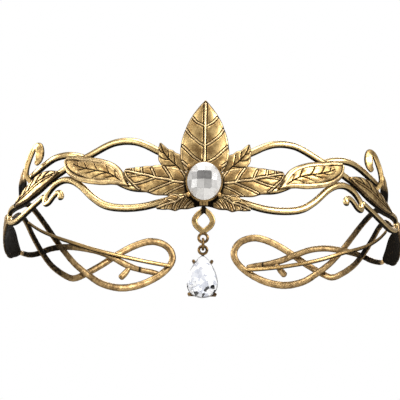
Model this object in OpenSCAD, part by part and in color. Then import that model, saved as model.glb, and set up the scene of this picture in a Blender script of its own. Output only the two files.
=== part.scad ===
// Leaf and vine circlet: an open-backed head ornament of cast strands and
// leaves, with an oval stone at the brow and a pear-cut drop hanging below it.
//
// The band stands on a round wall whose middle is the origin. +Z is up, the
// brow faces -Y and +X is on the right of someone who looks at the brow.
// A place on the band is written as [angle, height, out]: degrees from the
// brow towards the side, millimetres above the middle of the band, and
// millimetres outside the wall. The right side is the left one mirrored,
// except that its back end sits a little higher and stops a little sooner.

/* [Band] */
// Radius of the round wall that the strands follow
band_radius = 72.5; // [70:0.5:76]
// Thickness of a vine strand, from inside the band to outside
strand_d = 1.8; // [1.4:0.1:1.8]
// Width of a vine strand, seen from outside the band
strand_w = 2.1; // [1.7:0.1:2.2]
// Thickness of the straight stay wire at the back
stay_d = 1.1; // [0.8:0.1:1.1]
// Width of the stay wire, seen from outside the band
stay_w = 1.6; // [1:0.1:1.7]
// How much higher the right back end sits than the left one
right_rise = 2.4; // [0:0.2:3]
// How many degrees sooner the right back end stops
right_short = 1.4; // [0:0.2:2]

/* [Leaves] */
// Thickness of a leaf at its middle
leaf_t = 0.9; // [0.8:0.05:0.9]
// Thickness of a leaf at its edge
leaf_edge_t = 0.5; // [0.4:0.05:0.5]
// How far a vein stands up from the leaf
vein_h = 0.3; // [0.2:0.05:0.4]
// Width of a vein at its root
vein_w = 0.6; // [0.4:0.1:0.8]

/* [Brow stone] */
// Width of the oval stone
stone_w = 10.3; // [10:0.1:11]
// Height of the oval stone
stone_l = 11.9; // [11.5:0.1:12.5]
// Height of the middle of the oval stone above the middle of the band
stone_z = -4.4; // [-4.6:0.1:-4.2]
// Rise of the stone above its setting edge
crown_h = 2.2; // [1.8:0.2:2.6]

/* [Hanging drop] */
// Width of the pear-cut stone
pear_w = 9.4; // [8:0.2:10]
// Length of the pear-cut stone
pear_l = 12.8; // [12:0.2:14]
// Thickness of the round link wire
link_d = 0.86; // [0.7:0.02:0.88]
// Radius of the jump ring at the middle of its wire
jump_r = 1.55; // [1.5:0.05:1.65]
// Width of the flat strip of the pendant loop
strip_w = 1.7; // [1.4:0.1:1.8]

/* [Hidden] */

gold = "#D9AE5E";
dark_gold = "#8A6A35";
clear_stone = "#DDE3E8";

// Sides of the band, as a sign on the angle
LEFT = -1;
RIGHT = 1;

// Columns of the strand and leaf tables
ANGLE = 0;
HEIGHT = 1;
OUT = 2;
SIZE = 3;

link_r = link_d / 2;
// Steps between two rows of a table
wire_steps = 2;
leaf_steps = 2;
// Sides of a strand's section
tube_sides = 6;
// Cells across a leaf, and lengths of its midrib
leaf_cells = 4;
midrib_steps = 4;

// Plane of the hanging parts, and the heights down the chain
hang_y = -79;
post_foot_z = -11.9;
eye_r = 1.35;
eye_z = -22.02;
link_gap = 0.11;
jump_pivot_z = eye_z - eye_r;
jump_z = jump_pivot_z + link_d + link_gap - jump_r;
drop_pivot_z = jump_z - jump_r;
drop_eye_r = 1.2;
drop_eye_z = drop_pivot_z + link_d + link_gap - drop_eye_r;
pear_top_z = drop_eye_z - drop_eye_r - link_r - 0.1;
pear_z = pear_top_z - pear_l / 2;

// Each row is [angle, height, out, width as a share of the strand's]; a share
// above 1 widens the strand but leaves its thickness as it is
upper_strand_rows = [
    [3.5, 4.3, -0.7, 0.8], [7, 5.4, -0.7, 0.9], [11, 7.2, -0.6, 1], [15, 9.8, -0.2, 1], [18, 11.1, 0.0, 1],
    [21.5, 11.5, 0.0, 1], [25, 10.8, 0.0, 1], [31, 8.0, 0.1, 1], [38, 5.4, 0.0, 1], [44, 2.8, 0.0, 1],
    [50, -0.1, 0.0, 1], [56, -1.4, 0.0, 1], [62, -1.4, 0.0, 0.95], [68, -1.0, 0.0, 0.9],
    [70.6, -1.8, 0.0, 0.9], [71.2, -3.6, 0.0, 0.9], [69.6, -5.4, 0.0, 0.9], [66, -6.6, 0.0, 0.95],
    [61, -7.0, 0.0, 1], [54, -5.3, 0.0, 0.95], [47.8, -2.6, 0.0, 0.8]
];
middle_strand_rows = [
    [11, -4.8, -0.2, 0.8], [15, -4.6, 0.0, 1], [19, -3.6, 0.0, 1], [24, 0.0, -0.6, 1],
    [29, 5.0, -2.0, 1], [34, 8.6, -2.0, 1], [38, 9.9, -0.5, 1], [42, 10.0, 0.0, 1],
    [46, 9.2, -0.2, 1], [51, 7.4, -0.2, 1], [55, 6.1, 0.0, 0.8]
];
lower_strand_rows = [
    [6, -7.4, 0.0, 0.8], [10, -9.0, 0.0, 1], [15, -10.4, 0.0, 1.05], [20, -10.5, 0.0, 1.05],
    [25, -9.2, 0.0, 1.05], [29, -6.1, 0.0, 1], [33, -1.6, 0.0, 1], [36, 0.7, 0.0, 1],
    [39, 1.5, 0.0, 1], [42, 0.8, 0.0, 1], [44.4, -1.0, 0.0, 0.95], [45.8, -3.2, 0.2, 0.9],
    [45.4, -5.2, 0.5, 0.82], [43.6, -5.2, 0.8, 0.8], [41.4, -3.3, 1.0, 0.8],
    [40.0, -2.7, 1.0, 0.8], [39.0, -3.3, 1.0, 0.85], [39.1, -4.3, 1.0, 1.05],
    [39.7, -5.0, 1.0, 0.7]
];
end_loop_rows = [
    [82, 1.6, -0.9, 0.85], [90, 5.6, -0.9, 0.9], [98, 9.6, -0.6, 1], [106, 13.2, 0.4, 1.05],
    [112, 12.6, 1.0, 1.1], [118, 9.0, 1.0, 1.1], [123, 4.8, 1.0, 1.15], [128, 0.2, 1.0, 1.15],
    [133, -4.8, 0.2, 1.2], [138, -8.6, -1.0, 1.25], [144, -11.4, -0.6, 1.3], [151, -12.1, 0.0, 1.35],
    [157, -10.6, 0.0, 1.35], [162, -7.8, 0.0, 1.3], [166.5, -3.9, 0.0, 1.25], [169.4, 0.6, 0.0, 1.25],
    [169.8, 4.4, 0.0, 1.3], [168.2, 7.8, 0.0, 1.35], [165, 9.7, 0.0, 1.35], [161, 9.7, 0.0, 1.35],
    [156, 7.2, 0.6, 1.3], [150, 2.4, 1.0, 1.25], [144, -3.2, 1.0, 1.2], [138, -8.0, 1.0, 1.2],
    [133, -10.9, 0.6, 1.15], [128, -10.4, 0.0, 1.15], [122, -7.8, 0.0, 1.1], [116.5, -3.6, 0.0, 1.1],
    [111, 1.2, 0.0, 1.05], [105, 6.0, 0.0, 1], [98, 6.0, -0.8, 0.95], [90, 1.8, -0.95, 0.9],
    [84, -1.4, -0.9, 0.85]
];
weave_left_rows = [
    [103.8, -7.2, 0.7, 0.75], [107, -6.6, 1.4, 0.85], [112, -5.8, 1.9, 0.95], [117, -3.9, 2.0, 1],
    [122, -0.8, 0.8, 1.05], [127, 1.0, -1.0, 1.1], [134, 2.2, -1.0, 1.15], [142, 2.1, -1.0, 1.15],
    [148, 0.4, -1.0, 1.2], [153, -1.8, -0.8, 1.3], [158, -2.9, 0.6, 1.1], [163, -3.4, 1.9, 1.1]
];
weave_right_rows = [
    [103.8, -7.9, 0.7, 0.75], [107.7, -7.7, 1.5, 0.85], [114, -6.2, 2.0, 0.95], [119.5, -3.8, 2.0, 1],
    [123.4, -2.1, 0.2, 1.05], [129, -0.1, -1.1, 1.1], [135, 1.6, -1.0, 1.15], [141, 1.9, -1.0, 1.15],
    [147, 0.5, -1.0, 1.2], [152.4, -1.2, -0.8, 1.25], [158, -1.9, 0.6, 1.1], [163, -2.3, 1.9, 1.1]
];
// The cut twig on the weave strand
twig_rows = [[154.4, -2.2, -0.6, 0.7], [153, -5.2, -0.3, 1.15], [151, -8.0, 0.0, 1.2]];
// The stay wire runs nearly straight; each row is one end of a stretch
stay_left_rows = [
    [104, 5.0, -1.8, 0.7], [112, 4.1, -2.0, 0.75], [120, 3.6, -2.4, 0.85], [130, 3.1, -2.65, 0.95],
    [140, 2.2, -2.65, 1], [150, 1.3, -2.65, 1], [160, 0.2, -2.2, 1], [169, -0.8, -1.7, 1]
];
stay_right_rows = [
    [93, 1.0, -2.4, 0.7], [103, 0.1, -2.2, 0.75], [110, -0.9, -2.2, 0.8], [118, -1.9, -2.4, 0.9],
    [127, -2.7, -2.65, 0.95], [137, -3.6, -2.65, 1], [147, -4.2, -2.65, 1], [156, -4.5, -2.2, 1],
    [165, -4.6, -1.7, 1]
];

// Leaf rows are [angle, height, out, half width], from the root to the tip
centre_leaf_rows = [
    [0, -3.0, 1.9, 2.4], [0, 1.2, 1.9, 6.2], [0, 6.0, 1.9, 7.4], [0, 11.4, 1.9, 6.7],
    [0, 16.6, 2.0, 4.8], [0, 20.2, 2.1, 2.6], [0, 23.0, 2.2, 0.4]
];
upper_leaf_rows = [
    [5.2, -0.2, 0.7, 1.8], [6.8, 1.9, 0.7, 3.2], [8.7, 4.4, 0.7, 3.2], [10.1, 6.9, 0.8, 1.9],
    [10.9, 9.7, 1.0, 0.3]
];
side_leaf_rows = [
    [3.4, -4.0, 2.8, 3.0], [7.2, -3.5, 2.8, 4.5], [11.0, -2.8, 2.8, 4.7],
    [14.4, -2.1, 2.8, 4.0], [17.4, -0.7, 2.8, 2.6], [19.2, 0.6, 2.8, 1.0]
];
lower_leaf_rows = [
    [1.8, -10.3, 3.75, 1.0], [4.2, -10.0, 3.75, 2.4], [6.8, -10.3, 3.75, 2.6],
    [9.0, -11.1, 3.75, 1.6], [10.9, -12.1, 3.75, 0.3]
];
front_leaf_rows = [
    [36.9, 7.5, 1.4, 1.5], [35.2, 5.6, 1.4, 3.3], [31.6, 3.4, 1.4, 4.1],
    [26.8, 1.8, 1.4, 4.2], [22.6, 0.0, 1.4, 3.2], [18.7, -3.7, 1.4, 0.4]
];
// Raised and veined panel inside the front leaf's smooth rim
front_panel_rows = [
    [34.2, 5.4, 2.0, 0.9], [32.2, 4.1, 2.0, 2.3], [28.6, 2.5, 2.0, 2.9],
    [24.6, 1.1, 2.0, 2.6], [21.8, -0.8, 2.0, 1.5], [19.8, -2.9, 2.0, 0.3]
];
temple_leaf_rows = [
    [40.3, 4.1, 1.4, 0.5], [43.8, 3.6, 1.4, 2.0], [48.0, 2.6, 1.4, 2.7],
    [52.6, 0.6, 1.4, 2.6], [57.0, -0.9, 1.4, 1.8], [61.0, -2.1, 1.4, 0.4]
];
ear_leaf_rows = [
    [60.8, 0.4, -0.4, 0.8], [60.0, 2.9, -0.3, 2.8], [59.4, 5.5, -0.1, 3.2],
    [58.7, 8.0, 0.1, 2.0], [57.8, 10.4, 0.2, 0.3]
];
nape_leaf_rows = [
    [72.2, -3.6, 0.4, 1.9], [78, -4.5, 0.6, 3.8], [84, -5.0, 0.6, 5.2],
    [91, -5.3, 0.6, 6.4], [96.5, -5.6, 0.6, 6.0], [100.4, -6.6, 0.6, 3.5], [103.4, -7.2, 0.6, 1.1]
];
// Flat strip hairpin at the temple; the last column is its half width
temple_ring_rows = [
    [52.8, 3.1, -0.1, 0.6], [53.4, 4.6, 0.8, 0.75], [53.8, 6.6, 1.9, 0.9], [53.5, 9.2, 2.1, 1.0],
    [52.2, 12.4, 2.0, 1.0], [50.2, 15.0, 2.0, 1.0], [48.2, 15.0, 2.0, 1.4],
    [47.5, 12.6, 2.0, 1.6], [47.9, 10.4, 2.0, 1.4], [49.2, 9.0, 2.0, 0.8]
];

// Smooth step from 0 at angle a to 1 at angle b
function ease(angle, a, b) =
    let (t = min(1, max(0, (angle - a) / (b - a))))
    t * t * (3 - 2 * t);

// Point on the wall; side is LEFT or RIGHT
function wall_point(row, side) =
    let (
        back = side == RIGHT ? ease(row[ANGLE], 100, 128) : 0,
        angle = side * (row[ANGLE] - right_short * back),
        r = band_radius + row[OUT]
    )
    [r * sin(angle), -r * cos(angle), row[HEIGHT] + right_rise * back];

// Smooth curve through the rows of a table, as a longer table
function spline_at(rows, i, t) =
    let (
        n = len(rows) - 1,
        a = rows[max(i - 1, 0)],
        b = rows[i],
        c = rows[min(i + 1, n)],
        d = rows[min(i + 2, n)]
    )
    0.5 * (2 * b + (c - a) * t + (2 * a - 5 * b + 4 * c - d) * t * t
        + (3 * b - a - 3 * c + d) * t * t * t);
function smooth_rows(rows, steps) = [
    for (i = [0:len(rows) - 2]) for (k = [0:steps - 1]) spline_at(rows, i, k / steps),
    rows[len(rows) - 1]
];

function unit(v) = v / norm(v);

// Direction along a list of points
function heading(points, i) =
    unit(points[min(i + 1, len(points) - 1)] - points[max(i - 1, 0)]);

// Outward direction of the wall at a point
function outward(p) = unit([p[0], p[1], 0]);

// A level direction, turned about the upright axis
function turned(v, a) = [v[0] * cos(a) - v[1] * sin(a), v[0] * sin(a) + v[1] * cos(a), v[2]];

// Closed tube faces for a stack of rings with n corners each
function tube_faces(rings, n) = [
    for (i = [0:rings - 2]) for (k = [0:n - 1]) each [
        [i * n + k, i * n + (k + 1) % n, (i + 1) * n + k],
        [i * n + (k + 1) % n, (i + 1) * n + (k + 1) % n, (i + 1) * n + k]
    ],
    [for (k = [0:n - 1]) n - 1 - k],
    [for (k = [0:n - 1]) (rings - 1) * n + k]
];

// A tube through points, whose section is an ellipse: wide[i] across the
// normal and deep[i] along it, with one normal for each point and a flat
// side of the tube facing it
module tube(points, normals, wide, deep) {
    corner_angles = [for (k = [0:tube_sides - 1]) 90 + 360 * (k - 0.5) / tube_sides];
    ring_points = [
        for (i = [0:len(points) - 1])
            let (
                t = heading(points, i),
                b = unit(cross(t, normals[i])),
                m = cross(b, t)
            )
            for (a = corner_angles)
                points[i] + b * wide[i] * cos(a) + m * deep[i] * sin(a)
    ];
    polyhedron(ring_points, tube_faces(len(points), tube_sides), convexity = 6);
}

// A strand along a table of the wall, with its full width and thickness
module strand(rows, side, width, thickness) {
    fine = smooth_rows(rows, wire_steps);
    points = [for (row = fine) wall_point(row, side)];
    tube(points, [for (p = points) outward(p)], [for (row = fine) row[SIZE] * width / 2],
        [for (row = fine) min(row[SIZE], 1) * thickness / 2]);
}

// Row number u of a leaf, where u runs from 0 at the root to 1 at the tip
function leaf_row(rows, u) =
    let (
        x = u * (len(rows) - 1),
        i = min(floor(x), len(rows) - 2)
    )
    spline_at(rows, i, x - i);

// Point on a leaf: u along it, v across it from -1 to 1, lift above its middle
function leaf_point(rows, side, bow, u, v, lift) =
    let (
        mm = PI * band_radius / 180,
        here = leaf_row(rows, u),
        ahead = leaf_row(rows, min(u + 0.02, 1)) - leaf_row(rows, max(u - 0.02, 0)),
        along = unit([ahead[ANGLE] * mm, ahead[HEIGHT]]),
        reach = v * abs(here[SIZE])
    )
    wall_point([
        here[ANGLE] - reach * along[1] / mm,
        here[HEIGHT] + reach * along[0],
        here[OUT] + bow * (1 - v * v) + lift
    ], side);

// Lift of the leaf's skin: thin at the edge, full in the middle of each half
function skin(v) =
    leaf_edge_t / 2 + (leaf_t - leaf_edge_t) / 2 * (1 - pow(abs(v), 3));

// Blade of a leaf as one closed skin
module leaf_blade(rows, side, bow) {
    n = leaf_steps * (len(rows) - 1);
    m = leaf_cells;
    function at(u, v, up) = leaf_point(rows, side, bow, u, v, up * skin(v));
    // each ring goes over the front of the blade and back behind it
    rings = [
        for (i = [0:n]) each concat(
            [for (k = [0:m]) at(i / n, 2 * k / m - 1, 1)],
            [for (k = [m:-1:0]) at(i / n, 2 * k / m - 1, -1)]
        )
    ];
    corners = 2 * (m + 1);
    faces = tube_faces(n + 1, corners);
    polyhedron(rings, side == RIGHT ? faces : [for (f = faces) reverse(f)], convexity = 6);
}

function reverse(list) = [for (i = [len(list) - 1:-1:0]) list[i]];

// One raised vein from [u0, v0] to [u1, v1], narrower at its end
module vein(rows, side, bow, u0, v0, u1, v1, w0, w1) {
    sunk = 0.25;
    a = leaf_point(rows, side, bow, u0, v0, skin(v0));
    b = leaf_point(rows, side, bow, u1, v1, skin(v1));
    n = outward((a + b) / 2);
    across = unit(cross(b - a, n));
    hull() polyhedron([
        a - across * w0 / 2 - n * sunk, a + across * w0 / 2 - n * sunk, a + n * vein_h,
        b - across * w1 / 2 - n * sunk, b + across * w1 / 2 - n * sunk, b + n * vein_h * 0.6
    ], [[0, 1, 2], [5, 4, 3], [0, 3, 4, 1], [1, 4, 5, 2], [2, 5, 3, 0]]);
}

// A cast leaf: blade, midrib and pairs of side veins that lean to the tip
module leaf(rows, side, bow, pairs, lean = 0.16, reach = 0.78) {
    union() {
        leaf_blade(rows, side, bow);
        n = midrib_steps;
        for (i = [0:n - 1])
            vein(rows, side, bow, 0.04 + 0.92 * i / n, 0, 0.04 + 0.92 * (i + 1) / n, 0,
                vein_w * (1.2 - 0.6 * i / n), vein_w * (1.05 - 0.6 * i / n));
        for (i = [0:pairs - 1]) for (v = [-1, 1]) {
            u = 0.12 + 0.68 * i / max(pairs - 1, 1);
            vein(rows, side, bow, u, 0, u + lean, v * reach, vein_w, vein_w * 0.5);
        }
    }
}

module centre_leaf() {
    color(gold) leaf(centre_leaf_rows, RIGHT, 0.5, 4, 0.14);
}
module upper_leaf(side) {
    color(gold) leaf(upper_leaf_rows, side, 0.1, 3);
}
module side_leaf(side) {
    color(gold) leaf(side_leaf_rows, side, 0.4, 5, 0.16, 0.82);
}
module lower_leaf(side) {
    color(gold) leaf(lower_leaf_rows, side, 0.2, 3);
}
module front_leaf(side) {
    color(gold) union() {
        leaf_blade(front_leaf_rows, side, 0.6);
        leaf(front_panel_rows, side, 0.3, 5, 0.13, 0.86);
    }
}
module temple_leaf(side) {
    color(gold) leaf(temple_leaf_rows, side, 0.3, 4);
}
module ear_leaf(side) {
    color(dark_gold) leaf(ear_leaf_rows, side, 0.2, 2);
}
// The leaf behind the ear is smooth and has no veins
module nape_leaf(side) {
    color(dark_gold) leaf_blade(nape_leaf_rows, side, 0.0);
}

// Upper strand: over its crest, behind the front leaf and round the temple
module upper_strand(side) {
    color(gold) strand(upper_strand_rows, side, strand_w, strand_d);
}
module middle_strand(side) {
    color(gold) strand(middle_strand_rows, side, strand_w, strand_d);
}
// Lower strand, which ends in the tendril curl with its small ball
module lower_strand(side) {
    color(gold) strand(lower_strand_rows, side, strand_w, strand_d);
}
module end_loop(side) {
    color(dark_gold) strand(end_loop_rows, side, strand_w, strand_d);
}
// Weave strand with its cut twig
module weave_strand(side) {
    color(dark_gold) {
        strand(side == LEFT ? weave_left_rows : weave_right_rows, side, strand_w, strand_d);
        strand(twig_rows, side, strand_w, strand_d);
    }
}
module stay_wire(side) {
    rows = side == LEFT ? stay_left_rows : stay_right_rows;
    color(dark_gold) strand(rows, side, stay_w, stay_d);
}
// Temple ring: a flat strip bent into a tall hairpin
module temple_ring(side) {
    fine = smooth_rows(temple_ring_rows, wire_steps);
    points = [for (row = fine) wall_point(row, side)];
    strip_t = 1.2;
    // the strip's face is turned this far from the wall towards the brow
    turn = 25;
    color(gold)
        tube(points, [for (p = points) turned(outward(p), -side * turn)],
            [for (row = fine) row[SIZE]], [for (row = fine) strip_t / 2]);
}

// Oval outline, grown by a margin
module oval(margin) {
    n = 40;
    polygon([
        for (i = [0:n - 1])
            [(stone_w / 2 + margin) * cos(360 * i / n), (stone_l / 2 + margin) * sin(360 * i / n)]
    ]);
}

// Setting at the brow: cup, four ball-ended prongs and the post below them
cup_back_y = -77.1;
girdle_y = -79.4;
module stone_setting() {
    wall = 0.5;
    prong_r = 0.55;
    cup_margin = 0.5;
    // how far the cup's rim reaches in under the stone
    seat = 0.1;
    color(gold) {
        translate([0, cup_back_y, stone_z]) rotate([90, 0, 0]) difference() {
            linear_extrude(cup_back_y - girdle_y - 0.1) oval(cup_margin);
            translate([0, 0, wall]) linear_extrude(cup_back_y - girdle_y) oval(-seat);
        }
        for (x = [-1, 1]) for (z = [-1, 1])
            translate([x * (stone_w / 2 - 0.45), 0, stone_z + z * (stone_l / 2 - 1.55)]) {
                translate([0, cup_back_y, 0]) rotate([90, 0, 0])
                    cylinder(h = cup_back_y - girdle_y + 0.9, r = prong_r, $fn = 24);
                translate([0, girdle_y - 1.1, 0]) sphere(r = prong_r + 0.05, $fn = 24);
            }
        translate([-1.25, hang_y - 0.2, post_foot_z])
            difference() {
                cube([2.5, 1.9, stone_z - stone_l / 2 - post_foot_z + 0.3]);
                for (x = [0.75, 1.55]) translate([x, -0.1, -0.1]) cube([0.2, 0.35, 1.4]);
            }
    }
}

// Oval stone: a low dome of square facets on a girdle, and a pavilion below
module centre_stone() {
    cell_w = stone_w / 4.6;
    cell_l = stone_l / 4.6;
    n = 28;
    function dome(x, z) =
        crown_h * (1 - pow(x / (stone_w / 2), 2) - pow(z / (stone_l / 2), 2));
    grid = [
        for (i = [-1.5:1:1.5]) for (k = [-1.5:1:1.5])
            if (dome(i * cell_w, k * cell_l) > 0)
                [i * cell_w, k * cell_l, 0.3 + dome(i * cell_w, k * cell_l)]
    ];
    girdle = [
        for (i = [0:n - 1]) for (h = [-0.3, 0.3])
            [stone_w / 2 * cos(360 * i / n), stone_l / 2 * sin(360 * i / n), h]
    ];
    pavilion = [
        for (i = [0:7])
            [stone_w * 0.2 * cos(45 * i), stone_l * 0.2 * sin(45 * i), -1.9]
    ];
    all_points = concat(grid, girdle, pavilion);
    color(clear_stone) translate([0, girdle_y - 0.35, stone_z]) rotate([90, 0, 0])
        hull() polyhedron(all_points, [[for (i = [0:len(all_points) - 1]) i]]);
}

// Pendant loop: a flat strip whose two ends cross under the post, and the
// fixed eye below it
loop_rows = [
    [-0.7, -12.7, 0.55], [0.3, -13.5, 0.55], [1.8, -14.8, 0.4], [2.7, -16.5, 0.1],
    [2.3, -18.1, 0.0], [1.15, -19.25, 0.0], [0, -19.95, 0.0],
    [-1.15, -19.25, 0.0], [-2.3, -18.1, 0.0], [-2.7, -16.5, -0.1], [-1.8, -14.8, -0.4],
    [-0.3, -13.5, -0.55], [0.7, -12.7, -0.55]
];
module pendant_loop() {
    fine = smooth_rows(loop_rows, 2);
    points = [for (row = fine) [row[0], hang_y - row[2], row[1]]];
    strip_t = 0.9;
    color(gold) {
        tube(points, [for (p = points) [0, -1, 0]], [for (p = points) strip_w / 2],
            [for (p = points) strip_t / 2]);
        translate([0, hang_y, eye_z]) rotate([90, 0, 0])
            rotate_extrude($fn = 48) translate([eye_r, 0]) circle(r = link_r, $fn = 24);
    }
}

module jump_ring() {
    color(gold) translate([0, hang_y, jump_z]) rotate([0, 90, 0])
        rotate_extrude($fn = 48) translate([jump_r, 0]) circle(r = link_r, $fn = 24);
}

// Pear outline with its point up, grown by a margin
function pear(margin, n) = [
    for (i = [0:n - 1])
        let (t = 360 * (i + 0.5) / n, taper = 1 - 0.4 * cos(t))
        [(pear_w / 2 + margin) / 1.069 * sin(t) * taper, (pear_l / 2 + margin) * cos(t)]
];

// Drop setting: eye, stem, a gallery behind the stone and four ball-ended prongs
module drop_setting() {
    gallery_front = 1.2;
    gallery_back = 1.9;
    gallery_y = hang_y + (gallery_front + gallery_back) / 2;
    lug_r = 0.34;
    // each spot is [half the distance between two prongs, height above the pear's middle]
    prong_spots = [[2.7, 4.6], [3.85, -5.3]];
    lug_l = 1.6;
    color(gold) {
        translate([0, hang_y, drop_eye_z]) rotate([90, 0, 0])
            rotate_extrude($fn = 48) translate([drop_eye_r, 0]) circle(r = link_r, $fn = 24);
        hull() {
            translate([-0.4, hang_y + 0.25, drop_eye_z - drop_eye_r - 0.12]) rotate([0, 90, 0])
                cylinder(h = 0.8, r = lug_r, $fn = 24);
            translate([-0.4, gallery_y, pear_top_z - 0.5]) rotate([0, 90, 0])
                cylinder(h = 0.8, r = lug_r, $fn = 24);
        }
        translate([0, hang_y + gallery_back, pear_z]) rotate([90, 0, 0])
            linear_extrude(gallery_back - gallery_front) difference() {
                scale(0.93) polygon(pear(0, 48));
                scale(0.81) polygon(pear(0, 48));
            }
        for (x = [-1, 1]) for (spot = prong_spots)
            translate([x * spot[0], 0, pear_z + spot[1]]) {
                translate([0, hang_y + gallery_back, 0]) rotate([90, 0, 0])
                    cylinder(h = gallery_back + 0.5, r = lug_r, $fn = 24);
                translate([0, hang_y - 0.5, 0]) sphere(r = 0.5, $fn = 24);
                translate([0, gallery_y, 0]) rotate([0, -x * 90, 0])
                    cylinder(h = lug_l, r = lug_r, $fn = 24);
            }
    }
}

// Pear-cut stone: table, crown, girdle and a pavilion down to a short ridge
module drop_stone() {
    n = 16;
    function ring(scale_by, h) = [
        for (p = pear(-0.08, n)) [p[0] * scale_by, p[1] * scale_by, h]
    ];
    all_points = concat(
        ring(0.56, 2.3), ring(0.82, 1.5), ring(1, 0.3), ring(1, -0.3),
        ring(0.62, -1.7), ring(0.12, -2.6)
    );
    // set back a little, so that the drop's weight hangs right below its eye
    balance = 0.05;
    color(clear_stone) translate([0, hang_y + balance, pear_z]) rotate([90, 0, 0])
        hull() polyhedron(all_points, [[for (i = [0:len(all_points) - 1]) i]]);
}

centre_leaf();
upper_leaf(LEFT);  // upper_leaf_left
upper_leaf(RIGHT);  // upper_leaf_right
side_leaf(LEFT);  // side_leaf_left
side_leaf(RIGHT);  // side_leaf_right
lower_leaf(LEFT);  // lower_leaf_left
lower_leaf(RIGHT);  // lower_leaf_right
stone_setting();
centre_stone();
pendant_loop();
jump_ring();
drop_setting();
drop_stone();
upper_strand(LEFT);  // upper_strand_left
upper_strand(RIGHT);  // upper_strand_right
middle_strand(LEFT);  // middle_strand_left
middle_strand(RIGHT);  // middle_strand_right
lower_strand(LEFT);  // lower_strand_left
lower_strand(RIGHT);  // lower_strand_right
end_loop(LEFT);  // end_loop_left
end_loop(RIGHT);  // end_loop_right
weave_strand(LEFT);  // weave_strand_left
weave_strand(RIGHT);  // weave_strand_right
stay_wire(LEFT);  // stay_wire_left
stay_wire(RIGHT);  // stay_wire_right
front_leaf(LEFT);  // front_leaf_left
front_leaf(RIGHT);  // front_leaf_right
temple_leaf(LEFT);  // temple_leaf_left
temple_leaf(RIGHT);  // temple_leaf_right
temple_ring(LEFT);  // temple_ring_left
temple_ring(RIGHT);  // temple_ring_right
ear_leaf(LEFT);  // ear_leaf_left
ear_leaf(RIGHT);  // ear_leaf_right
nape_leaf(LEFT);  // nape_leaf_left
nape_leaf(RIGHT);  // nape_leaf_right
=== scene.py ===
import logging
import math
from dataclasses import dataclass
from enum import Enum

import bmesh
import bpy
import numpy as np
from mathutils import Matrix, Vector


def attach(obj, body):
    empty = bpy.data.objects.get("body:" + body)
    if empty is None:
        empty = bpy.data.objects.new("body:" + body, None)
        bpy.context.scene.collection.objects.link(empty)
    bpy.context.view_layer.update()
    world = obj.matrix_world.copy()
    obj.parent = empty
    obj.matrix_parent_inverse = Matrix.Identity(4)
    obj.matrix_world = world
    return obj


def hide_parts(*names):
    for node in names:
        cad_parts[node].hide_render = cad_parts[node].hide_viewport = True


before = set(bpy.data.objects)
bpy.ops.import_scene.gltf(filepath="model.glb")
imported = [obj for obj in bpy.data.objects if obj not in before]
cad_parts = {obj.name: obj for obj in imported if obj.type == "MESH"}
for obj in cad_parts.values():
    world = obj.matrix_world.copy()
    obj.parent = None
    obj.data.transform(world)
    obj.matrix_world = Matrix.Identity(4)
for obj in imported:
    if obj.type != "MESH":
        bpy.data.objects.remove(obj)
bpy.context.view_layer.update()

IMAGE_SIDE = 400
MM = 0.001
# The band follows a round wall with this radius in mm, and one degree round it is this long.
BAND_RADIUS = 72.5
DEGREE_MM = math.pi * BAND_RADIUS / 180
# Sections in mm, with a skin of plating and solder over the solids' strands and wires.
STRAND_WIDTH = 2.35
STRAND_DEPTH = 1.9
STAY_WIDTH = 1.85
STAY_DEPTH = 1.2
RING_THICK = 1.2
RING_TURN = 25.0
# The right end is eased up in mm and shorter in degrees, from one angle to another.
RIGHT_RISE = 2.4
RIGHT_SHORT = 1.4
RIGHT_EASE = (100, 128)
# The brow stone's width, height and middle, and the plane that the loop and drop hang in, in mm.
STONE_WIDTH = 10.3
STONE_HEIGHT = 11.9
STONE_Z = -4.4
HANG_Y = -79.0
# Brown wash lies round the brow stone, out to these distances in mm. Painted shade, black,
# fills the recess, out to these shares of the stone's oval and up to these heights, and lower
# down the middle, out to these distances. Each is gone at the first number and full at the second.
WASH_FADE = (19.0, 6.0)
RECESS_FADE = (1.35, 1.12)
RECESS_TOP = (2.0, -1.0)
POST_FADE = (3.8, 2.7)
POST_TOP = -8.5
# The patina and painted shade on the inner face of the back strands change between these
# angles, and by some degrees later on the left and earlier on the right.
INNER_DARK_FADE = (119, 138)
INNER_DARK_SHIFT = 3.5
# Blender's numbers for the sockets of a mix of colours.
MIX_SHARE, MIX_FIRST, MIX_SECOND, MIX_RESULT = 0, 6, 7, 2

# Short names for long types.
Array = np.ndarray
Arrays = tuple[np.ndarray, ...]
Rows = tuple[tuple[float, ...], ...]
Pair = tuple[float, float]
Place = tuple[float, float, float]
Facets = list[tuple[Vector, float]]
Tree = bpy.types.NodeTree
Node = bpy.types.Node
Socket = bpy.types.NodeSocket
Material = bpy.types.Material
Mesh = bpy.types.Mesh
Piece = bpy.types.Object

log = logging.getLogger("circlet")

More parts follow.
